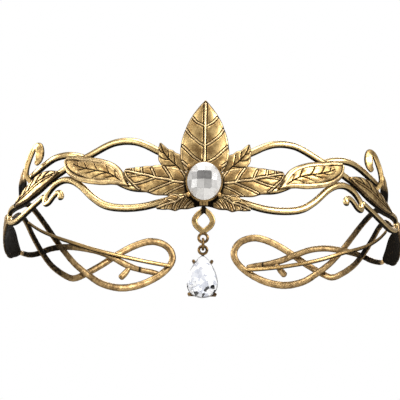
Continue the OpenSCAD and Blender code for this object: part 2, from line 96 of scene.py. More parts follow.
# Rows of the strand tables are (angle from the brow in degrees, height in mm, outward
# offset in mm, size as a share of the strand's). They follow the solids, but the front
# end of the upper strand and the ends of the weave strands are up to 3 mm longer here.
UPPER_STRAND = (
    (3.5, 4.3, -0.7, 0.8), (7, 5.4, -0.7, 0.9), (11, 7.2, -0.6, 1), (15, 9.8, -0.2, 1), (18, 11.1, 0, 1),
    (21.5, 11.5, 0, 1), (25, 10.8, 0, 1), (31, 8, 0.1, 1), (38, 5.4, 0, 1), (44, 2.8, 0, 1),
    (50, -0.1, 0, 1), (56, -1.4, 0, 1), (62, -1.4, 0, 0.95), (68, -1, 0, 0.9),
    (70.6, -1.8, 0, 0.9), (71.2, -3.6, 0, 0.9), (69.6, -5.4, 0, 0.9), (66, -6.6, 0, 0.95),
    (61, -7, 0, 1), (54, -5.3, 0, 0.95), (46.6, -2.1, -0.3, 0.8),
)
MIDDLE_STRAND = (
    (11, -4.8, -0.2, 0.8), (15, -4.6, 0, 1), (19, -3.6, 0, 1), (24, 0, -0.6, 1), (29, 5, -2, 1),
    (34, 8.6, -2, 1), (38, 9.9, -0.5, 1), (42, 10, 0, 1), (46, 9.2, -0.2, 1), (51, 7.4, -0.2, 1),
    (55, 6.1, 0, 0.8),
)
LOWER_STRAND = (
    (6, -7.4, 0, 0.8), (10, -9, 0, 1), (15, -10.4, 0, 1.05), (20, -10.5, 0, 1.05),
    (25, -9.2, 0, 1.05), (29, -6.1, 0, 1), (33, -1.6, 0, 1), (36, 0.7, 0, 1), (39, 1.5, 0, 1),
    (42, 0.8, 0, 1), (44.4, -1, 0, 0.95), (45.8, -3.2, 0.2, 0.9), (45.4, -5.2, 0.5, 0.82),
    (43.6, -5.2, 0.8, 0.8), (41.4, -3.3, 1, 0.8), (40, -2.7, 1, 0.8), (39, -3.3, 1, 0.85),
    (39.1, -4.3, 1, 1.05), (39.7, -5, 1, 0.7),
)
END_LOOP = (
    (82, 1.6, -0.9, 0.85), (90, 5.6, -0.9, 0.9), (98, 9.6, -0.6, 1), (106, 13.2, 0.4, 1.05),
    (112, 12.6, 1, 1.1), (118, 9, 1, 1.1), (123, 4.8, 1, 1.15), (128, 0.2, 1, 1.15),
    (133, -4.8, 0.2, 1.2), (138, -8.6, -1, 1.25), (144, -11.4, -0.6, 1.3), (151, -12.1, 0, 1.35),
    (157, -10.6, 0, 1.35), (162, -7.8, 0, 1.3), (166.5, -3.9, 0, 1.25), (169.4, 0.6, 0, 1.25),
    (169.8, 4.4, 0, 1.3), (168.2, 7.8, 0, 1.35), (165, 9.7, 0, 1.35), (161, 9.7, 0, 1.35),
    (156, 7.2, 0.6, 1.3), (150, 2.4, 1, 1.25), (144, -3.2, 1, 1.2), (138, -8, 1, 1.2),
    (133, -10.9, 0.6, 1.15), (128, -10.4, 0, 1.15), (122, -7.8, 0, 1.1), (116.5, -3.6, 0, 1.1),
    (111, 1.2, 0, 1.05), (105, 6, 0, 1), (98, 6, -0.8, 0.95), (90, 1.8, -0.95, 0.9),
    (84, -1.4, -0.9, 0.85),
)
WEAVE_LEFT = (
    (103.8, -7.2, 0.7, 0.75), (107, -6.6, 1.4, 0.85), (112, -5.8, 1.9, 0.95), (117, -3.9, 2, 1),
    (122, -0.8, 0.8, 1.05), (127, 1, -1, 1.1), (134, 2.2, -1, 1.15), (142, 2.1, -1, 1.15),
    (148, 0.4, -1, 1.2), (153, -1.8, -0.8, 1.3), (158, -2.9, 0.6, 1.1),
    (163, -3.4, 1.9, 1.1), (165.8, -4.1, 2, 0.95),
)
WEAVE_RIGHT = (
    (103.8, -7.9, 0.7, 0.75), (107.7, -7.7, 1.5, 0.85), (114, -6.2, 2, 0.95), (119.5, -3.8, 2, 1),
    (123.4, -2.1, 0.2, 1.05), (129, -0.1, -1.1, 1.1), (135, 1.6, -1, 1.15), (141, 1.9, -1, 1.15),
    (147, 0.5, -1, 1.2), (152.4, -1.2, -0.8, 1.25), (158, -1.9, 0.6, 1.1),
    (163, -2.3, 1.9, 1.1), (165.8, -2.9, 2, 0.95),
)
TWIG = ((154.4, -2.2, -0.6, 0.7), (153, -5.2, -0.3, 1.15), (151, -8, 0, 1.2))
STAY_LEFT = (
    (104, 5, -1.8, 0.7), (112, 4.1, -2, 0.75), (120, 3.6, -2.4, 0.85), (130, 3.1, -2.65, 0.95),
    (140, 2.2, -2.65, 1), (150, 1.3, -2.65, 1), (160, 0.2, -2.2, 1), (169, -0.8, -1.7, 1),
)
STAY_RIGHT = (
    (93, 1, -2.4, 0.7), (103, 0.1, -2.2, 0.75), (110, -0.9, -2.2, 0.8), (118, -1.9, -2.4, 0.9),
    (127, -2.7, -2.65, 0.95), (137, -3.6, -2.65, 1), (147, -4.2, -2.65, 1), (156, -4.5, -2.2, 1),
    (165, -4.6, -1.7, 1),
)
TEMPLE_RING = (
    (52.8, 3.1, -0.1, 0.6), (53.4, 4.6, 0.8, 0.75), (53.8, 6.6, 1.9, 0.9), (53.5, 9.2, 2.1, 1),
    (52.2, 12.4, 2, 1), (50.2, 15, 2, 1), (48.2, 15, 2, 1.4), (47.5, 12.6, 2, 1.6),
    (47.9, 10.4, 2, 1.4), (49.2, 9, 2, 0.8),
)
# Rows of the pendant loop are (across, height, forward) in mm.
PENDANT_LOOP = (
    (-0.7, -12.7, 0.55), (0.3, -13.5, 0.55), (1.8, -14.8, 0.4), (2.7, -16.5, 0.1), (2.3, -18.1, 0),
    (1.15, -19.25, 0), (0, -19.95, 0), (-1.15, -19.25, 0), (-2.3, -18.1, 0), (-2.7, -16.5, -0.1),
    (-1.8, -14.8, -0.4), (-0.3, -13.5, -0.55), (0.7, -12.7, -0.55),
)
# Rows of the leaf tables are (angle, height, outward offset, half width).
CENTRE_LEAF = (
    (0, -3, 1.9, 2.4), (0, 1.2, 1.9, 6.2), (0, 6, 1.9, 7.4), (0, 11.4, 1.9, 6.7), (0, 16.6, 2, 4.8),
    (0, 20.2, 2.1, 2.6), (0, 23, 2.2, 0.4),
)
UPPER_LEAF = (
    (5.2, -0.2, 0.7, 1.8), (6.8, 1.9, 0.7, 3.2), (8.7, 4.4, 0.7, 3.2), (10.1, 6.9, 0.8, 1.9),
    (10.9, 9.7, 1, 0.3),
)
SIDE_LEAF = (
    (3.4, -4, 2.8, 3), (7.2, -3.5, 2.8, 4.5), (11, -2.8, 2.8, 4.7), (14.4, -2.1, 2.8, 4),
    (17.4, -0.7, 2.8, 2.6), (19.2, 0.6, 2.8, 1),
)
LOWER_LEAF = (
    (0.8, -9.8, 3.4, 1.6), (4.2, -10, 3.75, 2.4), (6.8, -10.3, 3.75, 2.6), (9, -11.1, 3.75, 1.6),
    (10.9, -12.1, 3.75, 0.3),
)
FRONT_LEAF = (
    (36.9, 7.5, 1.4, 1.5), (35.2, 5.6, 1.4, 3.3), (31.6, 3.4, 1.4, 4.1), (26.8, 1.8, 1.4, 4.2),
    (22.6, 0, 1.4, 3.2), (18.7, -3.7, 1.4, 0.4),
)
FRONT_PANEL = (
    (34.2, 5.4, 2, 0.9), (32.2, 4.1, 2, 2.3), (28.6, 2.5, 2, 2.9), (24.6, 1.1, 2, 2.6),
    (21.8, -0.8, 2, 1.5), (19.8, -2.9, 2, 0.3),
)
TEMPLE_LEAF = (
    (40.3, 4.1, 1.4, 0.5), (43.8, 3.6, 1.4, 2), (48, 2.6, 1.4, 2.7), (52.6, 0.6, 1.4, 2.6),
    (57, -0.9, 1.4, 1.8), (61, -2.1, 1.4, 0.4),
)
EAR_LEAF = (
    (60.8, 0.4, -0.4, 0.8), (60, 2.9, -0.3, 2.8), (59.4, 5.5, -0.1, 3.2), (58.7, 8, 0.1, 2),
    (57.8, 10.4, 0.2, 0.3),
)
NAPE_LEAF = (
    (72.2, -3.6, 0.4, 1.9), (78, -4.5, 0.6, 3.8), (84, -5, 0.6, 5.2), (91, -5.3, 0.6, 6.4),
    (96.5, -5.6, 0.6, 6), (100.4, -6.6, 0.6, 3.5), (103.4, -7.2, 0.6, 1.1),
)
# Painted reflections: the brow stone's facets whose tones stand for a dark or bright side of
# the room that they throw back, as (column, row) counted from its middle, and their tones.
ROOM_FACETS = {
    (-1, 0): 0.25, (0, 0): 0.2, (-2, 0): 0.6, (0, -1): 0.5, (-1, -1): 0.78, (0, -2): 1, (-1, -2): 0.95,
}
# Rows of the drop's facets are (how many, tilt in degrees, lift in mm, shift as a share of
# one facet, 1 for the front or -1 for the back).
DROP_FACETS = (
    (16, 52, 0.3, 0.5, 1), (8, 36, 0.62, 0, 1), (8, 22, 1.12, 0.5, 1),
    (16, 50, 0.3, 0.5, -1), (8, 38, 0.72, 0, -1),
)
# Rows of the lamps are (name, place in metres, side in metres, watts).
LAMPS = (
    ("softbox_above", (-0.1, -0.3, 0.6), 0.45, 4.5), ("softbox_front", (-0.6, -0.62, 0.15), 0.32, 1.8),
    ("softbox_left", (-0.75, 0.15, 0.2), 0.35, 4), ("softbox_right", (0.61, -0.53, 0.28), 0.32, 6),
    ("softbox_back", (0.2, 0.7, 0.45), 0.4, 3),
)
# The room from straight down at 0 to straight up at 1, and how bright it is there: brightest
# a little above eye height, dim overhead and dark below.
ROOM_LIGHT = ((0, 0.03), (0.35, 0.15), (0.52, 0.6), (0.64, 1), (0.76, 0.85), (0.88, 0.4), (1, 0.3))


def ribs(width: float, lift: float, bend: float, way: int, *rows: tuple[float, ...]) -> tuple:
    """Lay out veins in a leaf's half 1 or -1, from rows of start, middle and end along it, and end across."""
    return tuple((width, (a, lift), (b, way * bend), (c, way * reach)) for a, b, c, reach in rows)


# Each vein is (half width in mm, then its places on the leaf: share of the way
# along it, and share of the half width, from -1 to 1).
CENTRE_VEINS = (
    (0.29, (0.05, 0), (0.5, 0), (0.93, 0)),
    (0.22, (0.6, 0), (0.615, 0.2), (0.65, 0.55), (0.71, 0.9)),
    (0.22, (0.6, 0), (0.615, -0.2), (0.65, -0.5), (0.71, -0.85)),
    (0.22, (0.405, 0), (0.42, 0.15), (0.457, 0.37), (0.505, 0.64), (0.57, 0.95)),
    (0.22, (0.405, 0), (0.42, -0.15), (0.457, -0.37), (0.51, -0.66), (0.575, -0.93)),
    (0.22, (0.21, 0), (0.24, 0.2), (0.29, 0.46), (0.355, 0.7), (0.405, 0.93)),
    (0.22, (0.21, 0), (0.24, -0.2), (0.285, -0.46), (0.35, -0.7), (0.405, -0.93)),
    (0.22, (0.08, 0.35), (0.167, 0.72), (0.24, 0.97)), (0.22, (0.08, -0.35), (0.167, -0.75), (0.23, -0.97)),
)
SIDE_VEINS = (
    (0.26, (0.02, -0.02), (0.19, 0.01), (0.25, 0.08), (0.43, 0.12), (0.51, 0.22), (0.63, 0.29), (0.88, 0.3),
     (0.96, 0.1)),
    (0.22, (0.43, 0.1), (0.57, -0.25), (0.71, -0.8)), (0.22, (0.19, 0.0), (0.35, -0.45), (0.48, -0.87)),
    (0.2, (0.05, -0.22), (0.185, -0.62), (0.28, -0.97)), (0.18, (0.63, 0.28), (0.74, 0), (0.84, -0.4)),
    (0.2, (0.05, 0.1), (0.08, 0.6), (0.135, 0.97)), (0.22, (0.22, 0.06), (0.27, 0.46), (0.35, 0.9)),
    (0.2, (0.435, 0.14), (0.465, 0.45), (0.51, 0.8)), (0.2, (0.63, 0.3), (0.665, 0.6), (0.69, 0.85)),
    (0.18, (0.78, 0.3), (0.81, 0.6), (0.83, 0.8)), 
    (0.2, (0.96, -0.15), (0.87, -0.55), (0.75, -0.7), (0.61, -0.93)),
)
UPPER_VEINS = (
    (0.2, (0.08, 0.1), (0.35, 0.05), (0.6, 0), (0.95, 0)), (0.18, (0.3, 0.05), (0.4, 0.35), (0.52, 0.7)),
    (0.18, (0.52, 0), (0.62, 0.35), (0.72, 0.7)), (0.18, (0.28, 0.05), (0.36, -0.35), (0.46, -0.8)),
    (0.18, (0.48, 0), (0.58, -0.4), (0.7, -0.8)), (0.16, (0.7, 0), (0.77, -0.4), (0.84, -0.7)),
)
LOWER_VEINS = (
    (0.24, (0.28, 0.6), (0.37, 0.3), (0.45, 0.02), (0.6, 0), (0.75, 0), (0.95, 0)),
    (0.2, (0.45, 0.02), (0.5, -0.3), (0.56, -0.75)), (0.22, (0.14, 0.1), (0.18, -0.2), (0.275, -0.95)),
    (0.18, (0.48, 0.05), (0.55, 0.3), (0.62, 0.55)), (0.18, (0.66, 0), (0.71, -0.35), (0.75, -0.7)),
    (0.16, (0.34, 0.45), (0.42, 0.75), (0.5, 0.9)), (0.14, (0.2, 0.7), (0.25, 0.1), (0.36, -0.8)),
    (0.14, (0.3, 0.2), (0.36, -0.2), (0.44, -0.85)),
)
PANEL_VEINS = (
    (0.15, (0.03, 0), (0.5, 0), (0.96, 0)),
    *ribs(0.15, 0, 0.4, -1, (0.18, 0.14, 0.1, 0.8), (0.34, 0.29, 0.24, 0.85), (0.5, 0.45, 0.4, 0.85),
          (0.67, 0.62, 0.57, 0.85), (0.82, 0.77, 0.73, 0.8)),
    *ribs(0.14, 0.05, 0.4, 1, (0.3, 0.22, 0.15, 0.75), (0.46, 0.37, 0.28, 0.8), (0.62, 0.53, 0.44, 0.85),
          (0.78, 0.7, 0.62, 0.85)),
)
TEMPLE_VEINS = (
    (0.18, (0.1, -0.4), (0.5, -0.34), (0.97, -0.3)), (0.2, (0.04, 0), (0.5, 0), (0.97, 0)),
    *ribs(0.38, 0.05, 0.4, 1, (0.28, 0.24, 0.17, 0.85), (0.43, 0.39, 0.32, 0.85), (0.57, 0.53, 0.46, 0.85),
          (0.7, 0.66, 0.6, 0.85)),
    *ribs(0.42, 0.05, 0.4, 1, (0.83, 0.79, 0.74, 0.8)),
)
EAR_VEINS = (
    (0.22, (0.1, 0), (0.5, 0), (0.93, 0)),
    *(rib for way in (1, -1) for rib in ribs(0.18, 0, 0.4, way, (0.45, 0.53, 0.62, 0.8))),
)
NAPE_VEINS = (
    (0.32, (0.03, 0), (0.5, 0), (0.95, 0)),
    *(rib for way in (1, -1) for rib in (
        *ribs(0.24, 0, 0.5, way, (0.16, 0.23, 0.31, 0.9), (0.32, 0.4, 0.5, 0.92), (0.5, 0.57, 0.67, 0.9)),
        *ribs(0.22, 0, 0.45, way, (0.68, 0.75, 0.83, 0.85)),
    )),
)


class Side(Enum):
    """Half of the band, as the sign on its angle."""

    LEFT = -1
    RIGHT = 1


class Relief(Enum):
    """How a leaf's veins are made."""

    RAISED = "raised"
    CUT = "cut"
    SMOOTH = "smooth"


def hex_colour(code: str) -> tuple[float, float, float, float]:
    """Turn an sRGB hex colour into Blender's linear colour.

    Args:
        code: six hex digits after a hash sign.

    Returns:
        Linear red, green, blue and a full alpha.
    """
    parts = [int(code[i:i + 2], 16) / 255 for i in (1, 3, 5)]
    linear = [c / 12.92 if c <= 0.04045 else ((c + 0.055) / 1.055) ** 2.4 for c in parts]
    return (*linear, 1.0)


def ease(value: Array, low: float, high: float) -> Array:
    """Step smoothly from 0 at low to 1 at high, which may be below low."""
    t = np.clip((np.asarray(value, float) - low) / (high - low), 0, 1)
    return t * t * (3 - 2 * t)


def hill(distance: Array, middle: float, width: float) -> Array:
    """Give a rounded hill of height 1 round a distance."""
    return np.exp(-((distance - middle) / width) ** 2)


def rounded(distance: Array, least: float) -> Array:
    """Give the size of a round tip at distances of 0 to 1 from it, with a least size."""
    return np.sqrt(np.clip(1 - (1 - np.clip(distance, 0, 1)) ** 2, least, 1))


def unit(vectors: Array) -> Array:
    """Scale vectors to length 1."""
    return vectors / np.maximum(np.linalg.norm(vectors, axis=-1, keepdims=True), 1e-12)


def outward(places: Array) -> Array:
    """Give the level way out from the band's middle at each place."""
    return unit(places * [1, 1, 0])


def turned(vectors: Array, degrees: float) -> Array:
    """Turn vectors about the upright axis."""
    c, n = math.cos(math.radians(degrees)), math.sin(math.radians(degrees))
    return vectors @ np.array([[c, n, 0], [-n, c, 0], [0, 0, 1]])


def wall_points(rows: Array, side: Side) -> Array:
    """Place wall rows in space.

    Args:
        rows: an array whose last axis starts with angle, height and offset.
        side: half of the band.

    Returns:
        Points in metres with the same leading axes.
    """
    back = ease(rows[..., 0], *RIGHT_EASE) if side is Side.RIGHT else np.zeros(rows.shape[:-1])
    angle = np.radians(side.value * (rows[..., 0] - RIGHT_SHORT * back))
    radius = BAND_RADIUS + rows[..., 2]
    height = rows[..., 1] + RIGHT_RISE * back
    return MM * np.stack([radius * np.sin(angle), -radius * np.cos(angle), height], -1)


def rows_at(rows: Rows, u: Array) -> Array:
    """Read a smooth curve through a table.

    Args:
        rows: the table's rows.
        u: places along it, from 0 at the first row to 1 at the last.

    Returns:
        One row for each place.
    """
    table = np.asarray(rows, float)
    last = len(table) - 1
    x = np.clip(u, 0, 1) * last
    i = np.clip(np.floor(x).astype(int), 0, last - 1)
    t = (x - i)[..., None]
    a, b = table[np.maximum(i - 1, 0)], table[i]
    c, d = table[i + 1], table[np.minimum(i + 2, last)]
    bend, twist = 2 * a - 5 * b + 4 * c - d, 3 * b - a - 3 * c + d
    return 0.5 * (2 * b + (c - a) * t + bend * t ** 2 + twist * t ** 3)


def evenly(points: Array, sizes: Array, step: float) -> Arrays:
    """Space a line's points evenly.

    Args:
        points: points along the line.
        sizes: a size for each point.
        step: spacing in metres.

    Returns:
        The new points and their sizes.
    """
    along = np.concatenate([[0], np.cumsum(np.linalg.norm(np.diff(points, axis=0), axis=1))])
    at = np.linspace(0, along[-1], max(int(along[-1] / step), 4) + 1)
    return np.stack([np.interp(at, along, points[:, k]) for k in range(3)], 1), np.interp(at, along, sizes)


def add_object(name: str, data: bpy.types.ID) -> Piece:
    """Put a mesh, lamp or camera in the scene.

    Args:
        name: plain name of the object.
        data: what it shows.

    Returns:
        The object.
    """
    made = bpy.data.objects.new(name, data)
    bpy.context.scene.collection.objects.link(made)
    return made


def make_object(name: str, points: Array, faces: list) -> Piece:
    """Make a smooth mesh object whose place is in its mesh.

    Args:
        name: plain name of the piece.
        points: corners in metres.
        faces: corner numbers of each face.

    Returns:
        The new object, linked to the scene.
    """
    mesh = bpy.data.meshes.new(name)
    mesh.from_pydata(points.tolist(), [], faces)
    mesh.polygons.foreach_set("use_smooth", [True] * len(mesh.polygons))
    mesh.update()
    return add_object(name, mesh)


def set_attribute(mesh: Mesh, name: str, values: Array, domain: str = "POINT") -> None:
    """Store a number or a vector for each corner or face of a mesh.

    Args:
        mesh: the mesh.
        name: the attribute that the finishes or the nodes read.
        values: the numbers, or rows of three for a vector.
        domain: POINT or FACE.
    """
    kind, key = ("FLOAT_VECTOR", "vector") if values.ndim == 2 else ("FLOAT", "value")
    layer = mesh.attributes.new(name, kind, domain)
    layer.data.foreach_set(key, np.asarray(values, np.float32).ravel())


def ring_faces(rings: int, sides: int, closed: bool = False) -> list:
    """Give the faces of a tube.

    Args:
        rings: number of rings.
        sides: corners in each ring.
        closed: whether the last ring meets the first.

    Returns:
        Quads between the rings, and one face on each end if it is open.
    """
    faces = []
    for i in range(rings if closed else rings - 1):
        here, there = i * sides, (i + 1) % rings * sides
        for k in range(sides):
            j = (k + 1) % sides
            faces.append((here + k, here + j, there + j, there + k))
    if not closed:
        faces.append(tuple(range(sides - 1, -1, -1)))
        faces.append(tuple((rings - 1) * sides + k for k in range(sides)))
    return faces


def turn_out(mesh: Mesh) -> None:
    """Make a mesh's faces point outwards.

    Args:
        mesh: a closed mesh.
    """
    work = bmesh.new()
    work.from_mesh(mesh)
    bmesh.ops.recalc_face_normals(work, faces=work.faces)
    work.to_mesh(mesh)
    work.free()


def corner_data(mesh: Mesh) -> Arrays:
    """Read a mesh's corners.

    Args:
        mesh: the mesh.

    Returns:
        The corners' places and normals.
    """
    places = np.zeros((len(mesh.vertices), 3), np.float32)
    normals = np.zeros_like(places)
    mesh.vertices.foreach_get("co", places.ravel())
    mesh.vertex_normals.foreach_get("vector", normals.ravel())
    return places, normals


def feed(node: Node, inputs: dict) -> Node:
    """Give a node what goes into it.

    Args:
        node: the node.
        inputs: a socket or a value for each input, by the input's name or number.

    Returns:
        The same node.
    """
    for place, value in inputs.items():
        if isinstance(value, Socket):
            node.id_data.links.new(value, node.inputs[place])
        else:
            node.inputs[place].default_value = value
    return node


def add_node(tree: Tree, kind: str, inputs: dict | None = None, **settings: object) -> Node:
    """Add a node with its settings and what goes into it.

    Args:
        tree: the tree that gets the node.
        kind: Blender's name for the node.
        inputs: a socket or a value for each input, by the input's name or number.
        settings: the node's own properties.

    Returns:
        The node.
    """
    node = tree.nodes.new(kind)
    for name, value in settings.items():
        setattr(node, name, value)
    return feed(node, inputs or {})


def read(tree: Tree, name: str) -> Socket:
    """Read one of a mesh's attributes in a material."""
    return add_node(tree, "ShaderNodeAttribute", attribute_name=name).outputs["Fac"]


def reckon(tree: Tree, operation: str, *terms: Socket | float, clamp: bool = False) -> Socket:
    """Reckon with sockets or plain numbers, by one of Blender's operations."""
    inputs = dict(enumerate(terms))
    return add_node(tree, "ShaderNodeMath", inputs, operation=operation, use_clamp=clamp).outputs[0]


def span(tree: Tree, value: Socket, start: float, end: float, low: float = 0,
         high: Socket | float = 1) -> Socket:
    """Turn a number's range from start to end into one from low to high."""
    return add_node(tree, "ShaderNodeMapRange", dict(enumerate((value, start, end, low, high)))).outputs[0]


def blend(tree: Tree, share: Socket, first: Socket | str, second: Socket | str) -> Socket:
    """Mix two colours.

    Args:
        tree: the tree that gets the node.
        share: how much of the second there is.
        first: a socket or a hex colour.
        second: a socket or a hex colour.

    Returns:
        The mixed colour.
    """
    first, second = (hex_colour(c) if isinstance(c, str) else c for c in (first, second))
    inputs = {MIX_SHARE: share, MIX_FIRST: first, MIX_SECOND: second}
    return add_node(tree, "ShaderNodeMix", inputs, data_type="RGBA").outputs[MIX_RESULT]


def clouds(tree: Tree, place: Socket, scale: float, detail: float = 3.0, roughness: float = 0.6) -> Socket:
    """Add cloudy noise, with this many clouds in a metre."""
    inputs = {"Vector": place, "Scale": scale, "Detail": detail, "Roughness": roughness}
    return add_node(tree, "ShaderNodeTexNoise", inputs).outputs[0]


def object_place(tree: Tree) -> Socket:
    """Read the place on the object in a material."""
    return add_node(tree, "ShaderNodeTexCoord").outputs["Object"]


def start_material(name: str) -> tuple[Material, Tree, Node]:
    """Start a material.

    Args:
        name: its name.

    Returns:
        The material, its nodes and its shader.
    """
    made = bpy.data.materials.new(name)
    made.use_nodes = True
    return made, made.node_tree, made.node_tree.nodes["Principled BSDF"]


@dataclass(frozen=True)
class CastGold:
    """Cast white metal under a gold-tone plate, a soft warm mirror that is rubbed pale on top.

    A brown wash gives it cloudy fields, black patina thin dark lines in its grooves, and painted shade its
    dark places.
    """

    name: str
    bright: str = "#FFF0CC"
    body: str = "#E4C284"
    wash: str = "#70502A"
    patina_and_shade: str = "#0C0804"
    washed: float = 0.8
    grain_mm: float = 0.3
    patch_mm: float = 2.8
    polish: float = 0.32
    crust: float = 0.6
    bump_mm: float = 0.03
    # painted shade deep behind a setting's face, from one depth to another in mm, and on its foot below a
    # height in mm, fading over a distance to a share
    shaded_from_mm: float | None = None
    shaded_to_mm: float = 0.0
    foot_shade_below_mm: float = -50.0
    foot_shade_fade_mm: float = 0.6
    foot_shade: float = 0.6
    # how much the grain and the mesh's own brown count in the wash, and the grain in the edge of the patina
    # and the painted shade
    grain_share: float = 0.3
    brown_share: float = 0.35
    ragged: float = 0.5
    uneven: float = 0.14
    # where the wash, the patina of the grooves, and the patina and painted shade of the dark places start and
    # are full
    wash_range: Pair = (0.55, 0.82)
    groove_range: Pair = (0.2, 0.85)
    dark_range: Pair = (0.15, 0.95)

    def _painted_shade(self, tree: Tree, place: Socket, dark: Socket) -> Socket:
        """Add the painted shade that lies deep behind a setting's face and on its foot.

        Args:
            tree: the material's nodes.
            place: the socket with the place on the object.
            dark: the patina and painted shade that the mesh asks for.

        Returns:
            The socket with both.
        """
        if self.shaded_from_mm is None:
            return dark
        split = add_node(tree, "ShaderNodeSeparateXYZ", {"Vector": place}).outputs
        deep = span(tree, split["Y"], self.shaded_from_mm * MM, self.shaded_to_mm * MM)
        foot = self.foot_shade_below_mm
        low = span(tree, split["Z"], foot * MM, (foot - self.foot_shade_fade_mm) * MM, high=self.foot_shade)
        return reckon(tree, "MAXIMUM", dark, reckon(tree, "MAXIMUM", low, deep))

    def build(self) -> Material:
        """Build the material.

        Returns:
            The finish, which reads the attributes groove, worn, brown and dark.
        """
        made, tree, shader = start_material(self.name)
        place = object_place(tree)
        grain = clouds(tree, place, 1 / (self.grain_mm * MM * 2))
        patch = clouds(tree, place, 1 / (self.patch_mm * MM))
        dark = self._painted_shade(tree, place, read(tree, "dark"))
        # the brown wash lies in clouds, with the plate's own grain in it
        cloud = reckon(tree, "MULTIPLY_ADD", grain, self.grain_share, patch)
        asked = reckon(tree, "MULTIPLY_ADD", read(tree, "brown"), self.brown_share, cloud)
        browned = span(tree, asked, *self.wash_range, high=self.washed)
        field = blend(tree, browned, self.body, self.wash)
        rubbed = blend(tree, read(tree, "worn"), field, self.bright)
        # the edge of the patina and the painted shade is broken up by the grain
        edge = reckon(tree, "MULTIPLY_ADD", grain, self.ragged, -self.ragged / 2)
        filled = span(tree, reckon(tree, "ADD", read(tree, "groove"), edge), *self.groove_range)
        shade = span(tree, reckon(tree, "ADD", dark, edge), *self.dark_range)
        low = reckon(tree, "MAXIMUM", filled, shade)
        rough = span(tree, low, 0.0, 1.0, self.polish, self.crust)
        bump = {"Strength": 0.5, "Distance": self.bump_mm * MM, "Height": grain}
        feed(shader, {
            "Base Color": blend(tree, low, rubbed, self.patina_and_shade),
            "Roughness": reckon(tree, "MULTIPLY_ADD", patch, self.uneven, rough),
            # patina is a dull crust, so it is no mirror, and the painted shade is as dull
            "Metallic": reckon(tree, "SUBTRACT", 1.0, low, clamp=True),
            "Specular IOR Level": 0.03,
            "Normal": add_node(tree, "ShaderNodeBump", bump).outputs[0],
        })
        return made


@dataclass(frozen=True)
class FoiledGlass:
    """Pressed glass over silver foil: each facet has one even painted tone, a painted reflection of the room.
    """

    name: str = "foil_backed_cut_glass"
    light: str = "#C9C7C4"
    shadow: str = "#262423"
    cloud_mm: float = 3.0
    cloudy: float = 0.3

    def build(self) -> Material:
        """Build the material.

        Returns:
            The finish, which reads the attribute tone.
        """
        made, tree, shader = start_material(self.name)
        # faint clouding of the foil
        cloud = clouds(tree, object_place(tree), 1 / (self.cloud_mm * MM), detail=2.0, roughness=0.5)
        shift = reckon(tree, "MULTIPLY_ADD", cloud, self.cloudy, -self.cloudy / 2)
        level = reckon(tree, "ADD", read(tree, "tone"), shift, clamp=True)
        feed(shader, {
            "Base Color": blend(tree, level, self.shadow, self.light), "Roughness": 0.06,
            "Specular IOR Level": 0.5, "Coat Weight": 0.3, "Coat Roughness": 0.02,
        })
        return made


@dataclass(frozen=True)
class ClearGlass:
    """Cut and polished lead crystal over a silver foil: white, with pale and black facets inside it that are
    painted reflections.
    """

    name: str = "cut_lead_crystal"
    ior: float = 1.56
    light: str = "#FFFFFF"
    pale: str = "#CDD0DA"
    shadow: str = "#101014"
    facet_mm: float = 1.15
    # the share of black facets, painted reflections, at two heights, and the tones that give pale and light
    black_from_mm: float = -34.5
    black_to_mm: float = -37.5
    black_share: Pair = (0.01, 0.17)
    pale_range: Pair = (0.15, 0.5)
    rim_range: Pair = (0.5, 0.95)
    rim_grey: float = 0.8

    def build(self) -> Material:
        """Build the material.

        Returns:
            The finish, which reads the attributes tone and rim.
        """
        made, tree, shader = start_material(self.name)
        place = object_place(tree)
        # painted reflections: the cut at the back shows through as small facets, each with one tone
        inner = add_node(tree, "ShaderNodeTexVoronoi", {"Vector": place, "Scale": 1 / (self.facet_mm * MM)})
        parts = add_node(tree, "ShaderNodeSeparateColor", {"Color": inner.outputs["Color"]}).outputs
        level = span(tree, reckon(tree, "MULTIPLY", parts[0], read(tree, "tone")), *self.pale_range)
        silver = blend(tree, level, self.pale, self.light)
        height = add_node(tree, "ShaderNodeSeparateXYZ", {"Vector": place}).outputs["Z"]
        share = span(tree, height, self.black_from_mm * MM, self.black_to_mm * MM, *self.black_share)
        black = reckon(tree, "LESS_THAN", parts[1], share)
        # glass turns light away where it thins to its girdle, so a grey line runs round it
        line = span(tree, read(tree, "rim"), *self.rim_range, high=self.rim_grey)
        feed(shader, {
            "Base Color": blend(tree, reckon(tree, "MAXIMUM", black, line), silver, self.shadow),
            "Roughness": 0.02, "IOR": self.ior, "Transmission Weight": 0.3,
            "Coat Weight": 0.5, "Coat Roughness": 0.02,
        })
        return made


def dress(made: Piece, finish: Material, slot: str, body: str, *nodes: str) -> None:
    """Give a piece its finish and body.

    Args:
        made: the piece.
        finish: its material.
        slot: the record's material slot; not used.
        body: the CAD body that it moves with.
        nodes: the CAD nodes that it stands for.
    """
    made.data.materials.clear()
    made.data.materials.append(finish)
    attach(made, body)
    if nodes:
        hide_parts(*nodes)
    log.info("%s: %d faces on %s", made.name, len(made.data.polygons), body)


def to_back(front: Array, share: float) -> Array:
    """Carry numbers of a leaf's front over to its back, where they count for a share."""
    return np.concatenate([front, front[:, ::-1] * share], 1).ravel()


